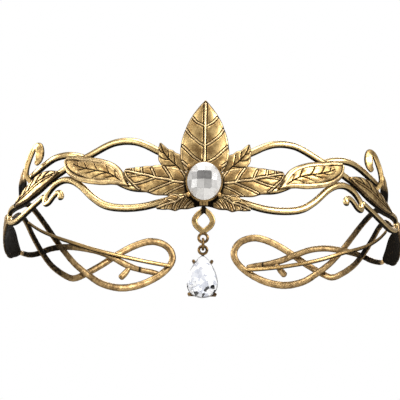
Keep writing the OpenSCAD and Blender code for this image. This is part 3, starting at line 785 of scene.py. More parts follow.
@dataclass
class Leaf:
    """A cast leaf that lies on the wall of the band, with sizes in mm."""

    node: str
    rows: Rows
    side: Side
    bow: float
    veins: tuple = ()
    relief: Relief = Relief.RAISED
    lobe: float = 0.0
    lobes: float = 4.0
    roll: float = 0.0
    middle_thick: float = 0.9
    edge_thick: float = 0.5
    cell: float = 0.13
    # patina and painted shade on faces that turn away from the outside, and heights in mm between which
    # painted shade darkens the lower part
    shade: float = 0.0
    dark_below: Pair | None = None
    # lobes slant towards the tip, and fade out at the foot and at the tip
    lobe_slant: float = 0.6
    lobes_from: Pair = (0.02, 0.2)
    lobes_to: Pair = (1.0, 0.85)
    # heights of the ribs, of the rim and of the fields between veins, and depth of the cuts
    rib_high: float = 0.14
    cut_deep: float = 0.17
    rim_high: float = 0.05
    field_high: float = 0.1
    halo: float = 1.1
    # distance from the edge and width of the rim, and of a rolled edge with its crease and its rubbed top
    rim: Pair = (0.45, 0.25)
    rolled: Pair = (0.8, 0.55)
    crease: Pair = (1.75, 0.3)
    rubbed: Pair = (0.9, 0.4)

    def _spots(self, u: Array, v: Array) -> Arrays:
        """Lay places of the leaf out flat.

        Args:
            u: places along the leaf.
            v: places across it, from -1 to 1.

        Returns:
            Places on the unrolled wall in mm, half widths in mm, and the table's rows.
        """
        here = rows_at(self.rows, u)
        ahead = rows_at(self.rows, u + 0.01) - rows_at(self.rows, u - 0.01)
        way = unit(np.stack([ahead[..., 0] * DEGREE_MM, ahead[..., 1]], -1))
        wave = self.lobe * np.cos(2 * math.pi * (u * self.lobes - self.lobe_slant * np.abs(v)))
        half = np.abs(here[..., 3]) * (1 + wave * ease(u, *self.lobes_from) * ease(u, *self.lobes_to))
        reach = v * half
        flat = [here[..., 0] * DEGREE_MM - reach * way[..., 1], here[..., 1] + reach * way[..., 0]]
        return np.stack(flat, -1), half, here

    def _from_vein(self, flat: Array, places: tuple) -> Array:
        """Measure how far places lie from a vein.

        Args:
            flat: places on the unrolled wall.
            places: the vein's places on the leaf.

        Returns:
            The distances in mm.
        """
        line = rows_at(places, np.linspace(0, 1, 5 * len(places)))
        spots = self._spots(line[:, 0], line[:, 1])[0]
        distance = np.full(flat.shape[:-1], np.inf)
        for a, b in zip(spots[:-1], spots[1:]):
            share = np.clip(((flat - a) @ (b - a)) / max((b - a) @ (b - a), 1e-9), 0, 1)
            distance = np.minimum(distance, np.linalg.norm(flat - a - share[..., None] * (b - a), axis=-1))
        return distance

    def _carving(self, flat: Array, v: Array, half: Array) -> Arrays:
        """Work out the leaf's low relief.

        Args:
            flat: places on the unrolled wall.
            v: places across the leaf, from -1 to 1.
            half: half width at each place in mm.

        Returns:
            The height of the relief in mm, and how far each place is a groove and is rubbed bright.
        """
        from_edge = (1 - np.abs(v)) * half
        ridge, trench, halo = np.zeros((3, *v.shape))
        # a cut vein is one trench, and a raised one is a ridge between two
        for width, *places in self.veins:
            distance = self._from_vein(flat, tuple(places))
            if self.relief is Relief.CUT:
                trench = np.maximum(trench, hill(distance, 0, width * 1.1))
            else:
                ridge = np.maximum(ridge, hill(distance, 0, width * 0.85) * width / 0.24)
                trench = np.maximum(trench, hill(distance, width * 1.75, width * 0.8))
            halo = np.maximum(halo, hill(distance, 0, self.halo))
        trench = trench * np.clip(1 - 1.3 * ridge, 0, 1)
        rim = hill(from_edge, *self.rim)
        height = self.rib_high * ridge - self.cut_deep * trench + self.rim_high * rim
        height = height + self.field_high * (1 - halo)
        worn = np.clip(0.24 * ridge + 0.12 * rim, 0, 1)
        # the lower edge lies in shadow, so its line is wider
        trench = np.maximum(trench, 0.8 * hill(from_edge, 0, 0.16 + 0.1 * (v < 0)))
        if self.roll:
            height = height + self.roll * hill(from_edge, *self.rolled)
            trench = np.maximum(trench, hill(from_edge, *self.crease))
            worn = np.maximum(worn, 0.2 * hill(from_edge, *self.rubbed))
        return height, np.clip(trench + 0.12 * halo, 0, 1), worn

    def _stains_and_shade(self, places: Array, normals: Array, groove: Array) -> Arrays:
        """Work out where the brown wash, the black patina and the painted shade lie.

        Args:
            places: the skin's corners in metres.
            normals: their normals.
            groove: how far each corner lies in a groove.

        Returns:
            How brown and how dark each corner is.
        """
        x, y, z = (places / MM).T
        # the wash is deepest round the brow stone and in the creases
        near = 0.4 * ease(np.hypot(x, z - STONE_Z), *WASH_FADE) * (y < 0)
        brown = np.maximum(near, 0.6 * np.clip(1.5 * groove, 0, 1))
        # painted shade: black lies in the recess round the stone's cup and beside the post, but not above the
        # cup
        reach = np.hypot(x / (STONE_WIDTH / 2), (z - STONE_Z) / (STONE_HEIGHT / 2))
        recess = ease(reach, *RECESS_FADE) * ease(z, *RECESS_TOP)
        recess = np.maximum(recess, ease(np.abs(x), *POST_FADE) * (z < POST_TOP)) * (y < 0)
        # patina and painted shade on the inner faces, painted shade on the undersides, and the leaf's own
        # share of patina and painted shade where it turns away from the outside
        facing = (normals * outward(places)).sum(1)
        inner = 0.75 * ease(-facing, 0.2, 0.8)
        under = 0.85 * ease(-normals[:, 2], 0.5, 0.9)
        dark = np.maximum(np.maximum(inner, under), recess) + self.shade * ease(facing, 0.6, -0.1)
        # painted shade on the lower part of the leaf
        if self.dark_below:
            dark = np.maximum(dark, ease(z, *self.dark_below))
        return np.clip(brown, 0, 1), np.clip(dark, 0, 1)

    def mesh(self) -> Piece:
        """Build the leaf as one closed skin.

        Returns:
            The leaf's object, with its groove, worn, brown and dark attributes.
        """
        fine = rows_at(self.rows, np.linspace(0, 1, 60))
        steps = np.diff(wall_points(fine, self.side), axis=0)
        along = int(float(np.linalg.norm(steps, axis=1).sum()) / MM / self.cell)
        across = int(2 * float(fine[:, 3].max()) / self.cell)
        u, v = np.meshgrid(np.linspace(0, 1, along + 1), np.linspace(-1, 1, across + 1), indexing="ij")
        flat, half, here = self._spots(u, v)
        carved, groove, worn = self._carving(flat, v, half)
        skin = self.edge_thick / 2 + (self.middle_thick - self.edge_thick) / 2 * (1 - np.abs(v) ** 3)
        base = np.stack([flat[..., 0] / DEGREE_MM, flat[..., 1], here[..., 2] + self.bow * (1 - v * v)], -1)
        front, back = base.copy(), base.copy()
        front[..., 2] += skin + carved
        back[..., 2] -= skin
        rings = np.concatenate([wall_points(front, self.side), wall_points(back, self.side)[:, ::-1]], 1)
        made = make_object(self.node + "_cast", rings.reshape(-1, 3), ring_faces(along + 1, 2 * (across + 1)))
        turn_out(made.data)
        brown, dark = self._stains_and_shade(*corner_data(made.data), to_back(groove, 1.0))
        shares = {"groove": to_back(groove, 0.3), "worn": to_back(worn, 0.0), "brown": brown, "dark": dark}
        for name, values in shares.items():
            set_attribute(made.data, name, values)
        return made


class StrandWeb:
    """Geometry nodes that turn a line into a hammered vine strand."""

    SETTINGS = {
        "Sides": "Int", "Blow Depth": "Float", "Blow Size": "Float", "Blow Stain": "Float",
        "Finish": "Material",
    }
    LINE_KINDS = {"thickness": "FLOAT", "flat": "FLOAT", "axis": "FLOAT_VECTOR"}
    # the usual level of the blows and bark, and how far from it the skin is clean and stained
    LEVEL = 0.95
    CLEAN, STAINED = 0.15, -0.45

    def __init__(self) -> None:
        """Build the tree with its named inputs."""
        tree = self.tree = bpy.data.node_groups.new("vine_strand_along_line", "GeometryNodeTree")
        face = tree.interface
        face.new_socket("Geometry", in_out="INPUT", socket_type="NodeSocketGeometry")
        self.inputs = {
            name: face.new_socket(name, in_out="INPUT", socket_type="NodeSocket" + kind).identifier
            for name, kind in self.SETTINGS.items()
        }
        face.new_socket("Geometry", in_out="OUTPUT", socket_type="NodeSocketGeometry")
        start = add_node(tree, "NodeGroupInput").outputs
        thick, flat, axis = (
            add_node(tree, "GeometryNodeInputNamedAttribute", {"Name": name}, data_type=kind).outputs[0]
            for name, kind in self.LINE_KINDS.items()
        )
        here = add_node(tree, "GeometryNodeInputPosition").outputs[0]
        normal = add_node(tree, "GeometryNodeInputNormal").outputs[0]
        line = add_node(tree, "GeometryNodeMeshToCurve", {"Mesh": start["Geometry"]}).outputs[0]
        section = {"Radius": 1.0, "Resolution": start["Sides"]}
        circle = add_node(tree, "GeometryNodeCurvePrimitiveCircle", section)
        swept = {"Curve": line, "Profile Curve": circle.outputs[0], "Scale": thick, "Fill Caps": True}
        tube = add_node(tree, "GeometryNodeCurveToMesh", swept).outputs[0]
        # the round section is pressed flatter through the wall of the band
        way = self._vector("NORMALIZE", self._vector("MULTIPLY", axis, (1.0, 1.0, 0.0)))
        through = self._vector("DOT_PRODUCT", self._vector("SUBTRACT", here, axis), way)
        amount = reckon(tree, "MULTIPLY", through, reckon(tree, "SUBTRACT", flat, 1.0))
        pressed = self._moved(tube, way, amount)
        # hammer blows and bark push the skin in and out
        rate = reckon(tree, "DIVIDE", 1.0, start["Blow Size"])
        pits = {"Scale": rate, "Smoothness": 0.25}
        blows = add_node(tree, "ShaderNodeTexVoronoi", pits, feature="SMOOTH_F1").outputs[0]
        bark = add_node(tree, "ShaderNodeTexNoise", {"Scale": rate, "Detail": 3.0}).outputs[0]
        centred = reckon(tree, "SUBTRACT", reckon(tree, "ADD", blows, bark), self.LEVEL)
        struck = self._moved(pressed, normal, reckon(tree, "MULTIPLY", centred, start["Blow Depth"]))
        low = span(tree, centred, self.CLEAN, self.STAINED, high=start["Blow Stain"])
        stored = {"Geometry": struck, "Name": "groove", "Value": low}
        kept = add_node(tree, "GeometryNodeStoreNamedAttribute", stored, data_type="FLOAT", domain="POINT")
        soft = add_node(tree, "GeometryNodeSetShadeSmooth", {"Geometry": kept.outputs[0]})
        real = add_node(tree, "GeometryNodeRealizeInstances", {"Geometry": soft.outputs[0]})
        coated = {"Geometry": real.outputs[0], "Material": start["Finish"]}
        coat = add_node(tree, "GeometryNodeSetMaterial", coated)
        add_node(tree, "NodeGroupOutput", {"Geometry": coat.outputs[0]})

    def _vector(self, operation: str, *terms: Socket | Place) -> Socket:
        """Reckon with sockets or plain vectors, by one of Blender's operations."""
        node = add_node(self.tree, "ShaderNodeVectorMath", dict(enumerate(terms)), operation=operation)
        return node.outputs["Value" if operation == "DOT_PRODUCT" else "Vector"]

    def _moved(self, skin: Socket, way: Socket, amount: Socket) -> Socket:
        """Move a skin.

        Args:
            skin: the geometry.
            way: the way that each corner goes.
            amount: how far, in metres.

        Returns:
            The moved geometry.
        """
        node = add_node(self.tree, "ShaderNodeVectorMath", {0: way, "Scale": amount}, operation="SCALE")
        inputs = {"Geometry": skin, "Offset": node.outputs[0]}
        return add_node(self.tree, "GeometryNodeSetPosition", inputs).outputs[0]

    def grow(self, name: str, lines: list[Arrays], settings: dict) -> Piece:
        """Run the tree on one or more lines.

        Args:
            name: name of the piece.
            lines: points and radii in metres of each line, and its depth over its width.
            settings: a value for each of the tree's named inputs.

        Returns:
            A plain mesh object.
        """
        points, radii, flats = (np.concatenate(part) for part in zip(*lines))
        edges, start = [], 0
        for line in lines:
            edges += [(i, i + 1) for i in range(start, start + len(line[0]) - 1)]
            start += len(line[0])
        mesh = bpy.data.meshes.new(name + "_line")
        mesh.from_pydata(points.tolist(), edges, [])
        for key, values in zip(self.LINE_KINDS, (radii, flats, points)):
            set_attribute(mesh, key, values)
        carrier = add_object(name + "_line", mesh)
        growth = carrier.modifiers.new("strand", "NODES")
        growth.node_group = self.tree
        for key, value in settings.items():
            growth[self.inputs[key]] = value
        depsgraph = bpy.context.evaluated_depsgraph_get()
        plain = bpy.data.meshes.new_from_object(carrier.evaluated_get(depsgraph))
        bpy.data.objects.remove(carrier)
        plain.name = name
        for key in self.LINE_KINDS:
            plain.attributes.remove(plain.attributes[key])
        turn_out(plain)
        return add_object(name, plain)


@dataclass
class Strand:
    """A vine strand along the wall, with any side twigs; sizes in mm and angles in degrees."""

    node: str
    tables: tuple[Rows, ...]
    side: Side
    width: float = STRAND_WIDTH
    depth: float = STRAND_DEPTH
    sides: int = 20
    step: float = 0.3
    blow: float = 0.03
    blow_size: float = 2.2
    stain: float = 0.0
    # how much painted shade darkens the underside
    under: float = 1.0
    # patina and painted shade on the inner face before and after its fade
    inner_dark: Pair = (0.0, 0.0)
    # the front end has no patina or painted shade up to a collar, and a black nick crosses the strand above a
    # height
    collar_from: float | None = None
    collar_fade: float = 1.5
    nick_at: float | None = None
    nick_width: float = 0.6
    nick_above: float = -5.5

    def _line(self, table: Rows) -> Arrays:
        """Lay out one line of the strand.

        Args:
            table: its rows.

        Returns:
            Points and radii in metres, and depth over width.
        """
        fine = rows_at(table, np.linspace(0, 1, 24 * len(table)))
        points, size = evenly(wall_points(fine, self.side), fine[:, 3], self.step * MM)
        along = np.arange(len(size)) * self.step / (self.width / 2)
        cap = rounded(np.minimum(along, along[::-1]) + 0.12, 0.01)
        flatness = np.minimum(size, 1) * self.depth / (size * self.width)
        return points, size * self.width / 2 * MM * cap, flatness

    def mesh(self, web: StrandWeb, finish: Material) -> Piece:
        """Build the strand.

        Args:
            web: the nodes that sweep it.
            finish: its material.

        Returns:
            The strand's object.
        """
        made = web.grow(self.node + "_vine", [self._line(table) for table in self.tables], {
            "Sides": self.sides, "Blow Depth": self.blow * MM, "Blow Size": self.blow_size * MM,
            "Blow Stain": self.stain, "Finish": finish,
        })
        places, normals = corner_data(made.data)
        angle = np.degrees(np.arctan2(np.abs(places[:, 0]), -places[:, 1]))
        # painted shade on the underside, and patina and painted shade on the inner face
        under = self.under * ease(-normals[:, 2], 0.3, 0.6)
        inner = ease(-(normals * outward(places)).sum(1), -0.2, 0.5)
        strong, weak = self.inner_dark
        back = strong + (weak - strong) * ease(angle + INNER_DARK_SHIFT * self.side.value, *INNER_DARK_FADE)
        dark = np.maximum(under, inner * back)
        if self.collar_from is not None:
            dark = dark * ease(angle, self.collar_from, self.collar_from + self.collar_fade)
        if self.nick_at is not None:
            nick = hill(angle, self.nick_at, self.nick_width) * (places[:, 2] > self.nick_above * MM)
            dark = np.maximum(dark, nick)
        set_attribute(made.data, "dark", np.clip(dark, 0, 1))
        return made


@dataclass
class FlatStrip:
    """A flat cast strip with rounded edges and a groove down its face."""

    node: str
    points: Array
    normals: Array
    half_width: Array
    half_thick: float
    groove: float = 0.75
    sides: int = 28
    squared: float = 0.75
    dish: float = 0.22
    tip_rings: int = 6
    # painted shade: black lies in the notches where the two sides of a loop meet, below and above these
    # heights in mm, within this distance of the middle
    pinched: Pair | None = None
    notch_fade: float = 0.7
    notch_reach: Pair = (1.1, 0.55)

    def mesh(self) -> Piece:
        """Build the strip.

        Returns:
            The strip's object, with its groove and dark attributes.
        """
        ahead = unit(np.gradient(self.points, axis=0))
        across = unit(np.cross(ahead, self.normals))
        up = np.cross(across, ahead)
        turns = 2 * math.pi * (np.arange(self.sides) + 0.5) / self.sides
        # a squared-off oval, so that the face is flat and the edges are round
        wide, deep = (np.sign(way) * np.abs(way) ** self.squared for way in (np.cos(turns), np.sin(turns)))
        dish = self.dish * hill(np.abs(wide), 0.0, 0.45) * np.sign(deep)
        count = len(self.points)
        order = np.arange(count)
        cap = rounded(np.minimum(order, order[::-1]) / self.tip_rings + 0.1, 0.02)
        aside = across[:, None] * (self.half_width * cap)[:, None, None] * wide[None, :, None]
        rise = up[:, None] * (self.half_thick * cap)[:, None, None] * (deep - dish)[None, :, None]
        rings = self.points[:, None] + aside + rise
        made = make_object(self.node + "_strip", rings.reshape(-1, 3), ring_faces(count, self.sides))
        turn_out(made.data)
        groove = self.groove * hill(np.abs(wide), 0.0, 0.3) * (deep > 0)
        set_attribute(made.data, "groove", np.tile(groove, count))
        places, normals = corner_data(made.data)
        # painted shade on both rounded edges and on the underside
        edges = np.tile(0.95 * ease(np.abs(wide), 0.74, 0.97), count)
        dark = np.maximum(edges, ease(-normals[:, 2], 0.45, 0.9))
        if self.pinched:
            low, high = self.pinched
            z = places[:, 2] / MM
            notch = np.maximum(ease(z, low, low - self.notch_fade), ease(z, high, high + self.notch_fade))
            dark = np.maximum(dark, notch * ease(np.abs(places[:, 0]) / MM, *self.notch_reach))
        set_attribute(made.data, "dark", dark)
        return made


def cut_stone(name: str, outline: Array, low: float, high: float, planes: Facets) -> Piece:
    """Grind a stone out of a prism, one flat facet at a time.

    Args:
        name: name of the piece.
        outline: girdle corners in millimetres, seen from the front.
        low: depth of the prism behind the girdle in millimetres.
        high: its height in front of the girdle in millimetres.
        planes: the facets, each an outward normal and its distance from the middle in millimetres.

    Returns:
        The stone at the origin, with its front towards +Z and sizes in millimetres.
    """
    work = bmesh.new()
    bottom, top = ([work.verts.new((x, y, z)) for x, y in outline] for z in (low, high))
    work.faces.new(bottom[::-1])
    work.faces.new(top)
    for k in range(len(outline)):
        j = (k + 1) % len(outline)
        work.faces.new((bottom[k], bottom[j], top[j], top[k]))
    for normal, distance in planes:
        cut = bmesh.ops.bisect_plane(work, geom=work.verts[:] + work.edges[:] + work.faces[:], dist=1e-5,
                                     plane_co=normal * distance, plane_no=normal, clear_outer=True)
        edges = [e for e in cut["geom_cut"] if isinstance(e, bmesh.types.BMEdge)]
        if len(edges) > 2:
            bmesh.ops.contextual_create(work, geom=edges)
    bmesh.ops.remove_doubles(work, verts=work.verts, dist=1e-4)
    bmesh.ops.recalc_face_normals(work, faces=work.faces)
    mesh = bpy.data.meshes.new(name)
    work.to_mesh(mesh)
    work.free()
    return add_object(name, mesh)


def face_front(made: Piece, place_mm: Place) -> None:
    """Turn the face of a stone in millimetres from +Z to -Y and put it in its place."""
    turn = Matrix.Rotation(math.radians(90), 4, "X")
    made.data.transform(Matrix.Translation(Vector(place_mm) * MM) @ turn @ Matrix.Scale(MM, 4))


def facet_centres(mesh: Mesh) -> Array:
    """Read the middles of a mesh's faces."""
    return np.array([face.center[:] for face in mesh.polygons])


@dataclass
class BrowStone:
    """The oval stone, cut as a low dome of square facets, with sizes in mm."""

    width: float = STONE_WIDTH
    height: float = STONE_HEIGHT
    middle_z: float = STONE_Z
    girdle_y: float = -79.4
    corners: int = 56
    crown: float = 2.2
    edge: float = 0.3
    step_x: float = 2.25
    step_y: float = 2.85
    ring: int = 12
    ring_at: float = 0.43
    back_cuts: int = 8
    back_slope: float = -1.1
    low: float = -1.9
    high: float = 3.0
    # painted reflections: tone of the facets, how much neighbours differ, and how much darker the left edge
    # is
    tone: float = 0.8
    checker: float = 0.14
    edge_dim: float = 0.12
    edge_from: float = -0.36

    def _planes(self) -> Facets:
        """Lay out the facets.

        Returns:
            The facets, each an outward normal and its distance from the middle.
        """
        half_width, half_height = self.width / 2, self.height / 2
        # square facets two deep on each side of the cross in the middle, then a ring of larger ones
        shares = (-1.5, -0.5, 0.5, 1.5)
        spots = [(i * self.step_x, k * self.step_y) for i in shares for k in shares if abs(i) + abs(k) < 3]
        for k in range(self.ring):
            way = math.radians(360 / self.ring * (k + 0.5))
            x, y = self.ring_at * self.width * math.cos(way), self.ring_at * self.height * math.sin(way)
            spots.append((x, y))
        planes = []
        for x, y in spots:
            top = self.edge + self.crown * (1 - (x / half_width) ** 2 - (y / half_height) ** 2)
            slope = 2 * self.crown * x / half_width ** 2, 2 * self.crown * y / half_height ** 2, 1
            planes.append((Vector(slope).normalized(), Vector((x, y, top))))
        for k in range(self.back_cuts):
            way = math.radians(360 / self.back_cuts * (k + 0.5))
            slope = math.cos(way), math.sin(way) * 0.9, self.back_slope
            girdle = half_width * math.cos(way), half_height * math.sin(way), -self.edge
            planes.append((Vector(slope).normalized(), Vector(girdle)))
        return [(normal, normal.dot(spot)) for normal, spot in planes]

    def mesh(self) -> Piece:
        """Build the stone.

        Returns:
            The stone's object, with a tone for each facet.
        """
        turns = np.linspace(0, 2 * math.pi, self.corners, endpoint=False)
        outline = np.stack([self.width / 2 * np.cos(turns), self.height / 2 * np.sin(turns)], 1)
        made = cut_stone("centre_stone_cut", outline, self.low, self.high, self._planes())
        across, up, _ = facet_centres(made.data).T
        column, row = np.floor(across / self.step_x), np.floor(up / self.step_y)
        # painted reflections: facets alternate, as neighbours throw back different parts of the room
        tone = self.tone + self.checker * ((column + row) % 2)
        tone = tone - self.edge_dim * (across < self.edge_from * self.width)
        for (its_column, its_row), level in ROOM_FACETS.items():
            tone = np.where((column == its_column) & (row == its_row), level, tone)
        set_attribute(made.data, "tone", tone, "FACE")
        face_front(made, (0, self.girdle_y, self.middle_z))
        return made


@dataclass
class DropStone:
    """The pear-cut stone that hangs below the brow, with sizes in mm."""

    width: float = 9.4
    length: float = 12.8
    play: float = 0.08
    middle_y: float = HANG_Y + 0.05
    middle_z: float = -33.86
    table: float = 2.3
    culet: float = -2.6
    # the pear's taper, and its curve's own half width
    taper: float = 0.4
    curve_half: float = 1.069
    girdle_line: float = 0.15
    tone: float = 0.96
    dim_tone: float = 0.7

    def outline(self, count: int) -> Array:
        """Give the pear outline with its point up.

        Args:
            count: number of corners.

        Returns:
            The corners.
        """
        turns = 2 * math.pi * (np.arange(count) + 0.5) / count
        wide = (self.width / 2 - self.play) / self.curve_half * np.sin(turns)
        high = (self.length / 2 - self.play) * np.cos(turns)
        return np.stack([wide * (1 - self.taper * np.cos(turns)), high], 1)[::-1]

    def mesh(self) -> Piece:
        """Build the stone.

        Returns:
            The stone's object, with a tone for each facet and its rim marked.
        """
        outline = self.outline(48)
        planes = [(Vector((0, 0, 1)), self.table)]
        for count, tilt, lift, phase, up in DROP_FACETS:
            rise = math.radians(90 - tilt)
            for k in range(count):
                way = 2 * math.pi * (k + phase) / count
                flat = np.array([math.sin(way), math.cos(way)])
                edge = float((outline @ flat).max())
                normal = Vector((flat[0] * math.cos(rise), flat[1] * math.cos(rise), up * math.sin(rise)))
                planes.append((normal, edge * math.cos(rise) + lift * math.sin(rise)))
        made = cut_stone("drop_stone_cut", outline, self.culet, self.table + 0.3, planes)
        across, up, _ = facet_centres(made.data).T
        facing = np.array([face.normal.z for face in made.data.polygons])
        # painted reflections: every third sixteenth of a turn is dimmer, the thin girdle is a grey line, and
        # the table is white
        turn = np.degrees(np.arctan2(across, up)) % 360
        tone = np.where((np.floor(turn / 22.5) % 3 == 1), self.dim_tone, self.tone)
        tone = np.where(np.abs(facing) < 0.05, 0.0, tone)
        set_attribute(made.data, "tone", np.where(facing > 0.95, 1.0, tone), "FACE")
        corners = np.array([corner.co[:2] for corner in made.data.vertices])
        gap = np.linalg.norm(corners[:, None] - self.outline(480)[None], axis=-1).min(1)
        set_attribute(made.data, "rim", np.clip(1.2 - gap / self.girdle_line, 0, 1))
        face_front(made, (0, self.middle_y, self.middle_z))
        return made


@dataclass
class Pendant:
    """The twisted flat loop under the brow stone, with its eye; sizes in mm."""

    rows: Rows = PENDANT_LOOP
    half_width: float = 0.85
    half_thick: float = 0.42
    notches: Pair = (-19.7, -15.2)
    eye_radius: float = 1.35
    eye_z: float = -22.02
    wire: float = 0.43
    eye_rings: int = 64
    eye_sides: int = 20

    def meshes(self) -> list[Piece]:
        """Build the strip and its eye.

        Returns:
            The two pieces.
        """
        fine = rows_at(self.rows, np.linspace(0, 1, 130))
        points = MM * np.stack([fine[:, 0], HANG_Y - fine[:, 2], fine[:, 1]], 1)
        faces = np.tile([0.0, -1.0, 0.0], (len(points), 1))
        widths = np.full(len(points), self.half_width * MM)
        thick = self.half_thick * MM
        form = FlatStrip("pendant_loop", points, faces, widths, thick, groove=0.1, pinched=self.notches)
        strip = form.mesh()
        counts = (self.eye_rings, self.eye_sides)
        turns = [np.linspace(0, 2 * math.pi, count, endpoint=False) for count in counts]
        turn, spin = np.meshgrid(*turns, indexing="ij")
        ring = self.eye_radius + self.wire * np.cos(spin)
        corners = [ring * np.cos(turn), HANG_Y + self.wire * np.sin(spin), self.eye_z + ring * np.sin(turn)]
        places = MM * np.stack(corners, -1)
        eye = make_object("pendant_eye_wire", places.reshape(-1, 3), ring_faces(*counts, closed=True))
        turn_out(eye.data)
        return [strip, eye]


@dataclass
class Studio:
    """Camera, lights, floor and the pale room round the object."""

    distance: float = 0.4
    elevation: float = -13.5
    yaw: float = -0.2
    roll: float = 1.1
    focal_px: float = 1060.0
    shown_at: Pair = (202.4, 228.0)
    sensor_mm: float = 36.0
    clip: Pair = (0.01, 20.0)
    floor_z: float = -0.27
    floor_half: float = 3.0
    paint: str = "#EFEEEB"
    room: str = "#9A9A9C"

    def camera(self) -> None:
        """Put the camera where the photograph was taken."""
        rise, turn = math.radians(self.elevation), math.radians(self.yaw)
        level = math.cos(rise)
        place = self.distance * Vector((math.sin(turn) * level, -math.cos(turn) * level, math.sin(rise)))
        ahead = -place.normalized()
        right = ahead.cross(Vector((0, 0, 1))).normalized()
        basis = Matrix((right, right.cross(ahead), ahead))
        c, s = math.cos(math.radians(self.roll)), math.sin(math.radians(self.roll))
        # the band's middle isn't in the picture's middle, so the camera is swung round
        half = IMAGE_SIDE / 2
        across, up = (self.shown_at[0] - half) / self.focal_px, (half - self.shown_at[1]) / self.focal_px
        swing = Vector((0, 0, 1)).rotation_difference(Vector((across, up, 1)).normalized()).to_matrix()
        rows = swing @ Matrix(((c, s, 0), (-s, c, 0), (0, 0, 1))) @ basis
        data = bpy.data.cameras.new("camera")
        data.sensor_width = self.sensor_mm
        data.lens = self.focal_px / IMAGE_SIDE * self.sensor_mm
        data.clip_start, data.clip_end = self.clip
        made = add_object("camera", data)
        turned_to = Matrix((rows[0], rows[1], -rows[2])).transposed().to_4x4()
        made.matrix_world = Matrix.Translation(place) @ turned_to
        bpy.context.scene.camera = made

    def lamp(self, name: str, place: Place, size: float, power: float) -> None:
        """Hang one square softbox that faces the object.

        Args:
            name: its name.
            place: where it hangs, in metres.
            size: its side in metres.
            power: its power in watts.
        """
        data = bpy.data.lights.new(name, "AREA")
        data.size, data.energy = size, power
        made = add_object(name, data)
        made.location = place
        made.rotation_mode = "QUATERNION"
        made.rotation_quaternion = (-Vector(place)).to_track_quat("-Z", "Y")

    def floor(self) -> None:
        """Lay the pale floor."""
        signs = ((-1, -1), (1, -1), (1, 1), (-1, 1))
        corners = [(x * self.floor_half, y * self.floor_half, self.floor_z) for x, y in signs]
        floor = make_object("floor", np.array(corners), [(0, 1, 2, 3)])
        paint, _, shader = start_material("pale_matt_floor_paint")
        feed(shader, {"Base Color": hex_colour(self.paint), "Roughness": 0.9})
        floor.data.materials.append(paint)

    def walls(self) -> None:
        """Light the room, which the camera sees as plain white."""
        world = bpy.data.worlds.new("pale_room")
        world.use_nodes = True
        bpy.context.scene.world = world
        tree = world.node_tree
        tree.nodes.clear()
        way = add_node(tree, "ShaderNodeTexCoord").outputs["Generated"]
        split = add_node(tree, "ShaderNodeSeparateXYZ", {"Vector": way})
        ramp = add_node(tree, "ShaderNodeValToRGB", {"Fac": span(tree, split.outputs["Z"], -1.0, 1.0)})
        stops = ramp.color_ramp.elements
        for stop, (place, level) in zip(stops, (ROOM_LIGHT[0], ROOM_LIGHT[-1])):
            stop.position, stop.color = place, (level, level, level, 1)
        for place, level in ROOM_LIGHT[1:-1]:
            stops.new(place).color = (level, level, level, 1)
        glow = {"Color": hex_colour(self.room), "Strength": ramp.outputs[0]}
        lit = add_node(tree, "ShaderNodeBackground", glow)
        seen = add_node(tree, "ShaderNodeBackground", {"Color": hex_colour("#FFFFFF"), "Strength": 1.0})
        eye = add_node(tree, "ShaderNodeLightPath").outputs
        clear = reckon(tree, "MAXIMUM", eye["Is Camera Ray"], eye["Is Transmission Ray"])
        both = add_node(tree, "ShaderNodeMixShader", {0: clear, 1: lit.outputs[0], 2: seen.outputs[0]})
        add_node(tree, "ShaderNodeOutputWorld", {"Surface": both.outputs[0]})

    def build(self) -> None:
        """Set up the studio."""
        bpy.context.scene.view_settings.view_transform = "Standard"
        self.camera()
        for lamp in LAMPS:
            self.lamp(*lamp)
        self.floor()
        self.walls()


def build_leaves(gold: Material, dark_gold: Material) -> None:
    """Build and dress every leaf.

    Args:
        gold: finish of the front leaves.
        dark_gold: finish of the leaves behind the ears.
    """
    centre = Leaf("centre_leaf", CENTRE_LEAF, Side.RIGHT, 0.5, CENTRE_VEINS)
    dress(centre.mesh(), gold, "gold", "circlet", centre.node)
    for side in Side:
        tail = side.name.lower()
        leaves = (
            Leaf(f"upper_leaf_{tail}", UPPER_LEAF, side, 0.1, UPPER_VEINS, Relief.CUT, lobe=0.05),
            Leaf(f"side_leaf_{tail}", SIDE_LEAF, side, 0.4, SIDE_VEINS, lobe=0.025),
            Leaf(f"lower_leaf_{tail}", LOWER_LEAF, side, 0.2, LOWER_VEINS, lobe=0.07, lobes=3),
            Leaf(f"front_leaf_{tail}", FRONT_LEAF, side, 0.6, relief=Relief.SMOOTH, roll=0.22),
            Leaf(f"temple_leaf_{tail}", TEMPLE_LEAF, side, 0.3, TEMPLE_VEINS, Relief.CUT),
        )
        for leaf in leaves:
            dress(leaf.mesh(), gold, "gold", "circlet", leaf.node)
        panel = Leaf(f"front_panel_{tail}", FRONT_PANEL, side, 0.3, PANEL_VEINS, Relief.CUT)
        dress(panel.mesh(), gold, "gold", "circlet", f"front_leaf_{tail}")
        # painted shade on the ear leaves' lower part, and patina and painted shade on the nape leaves' inner
        # faces
        ear = Leaf(f"ear_leaf_{tail}", EAR_LEAF, side, 0.2, EAR_VEINS, dark_below=(8.5, 4.5))
        nape = Leaf(f"nape_leaf_{tail}", NAPE_LEAF, side, 0.0, NAPE_VEINS, cell=0.2, shade=1.0)
        for leaf in (ear, nape):
            dress(leaf.mesh(), dark_gold, "dark_gold", "circlet", leaf.node)


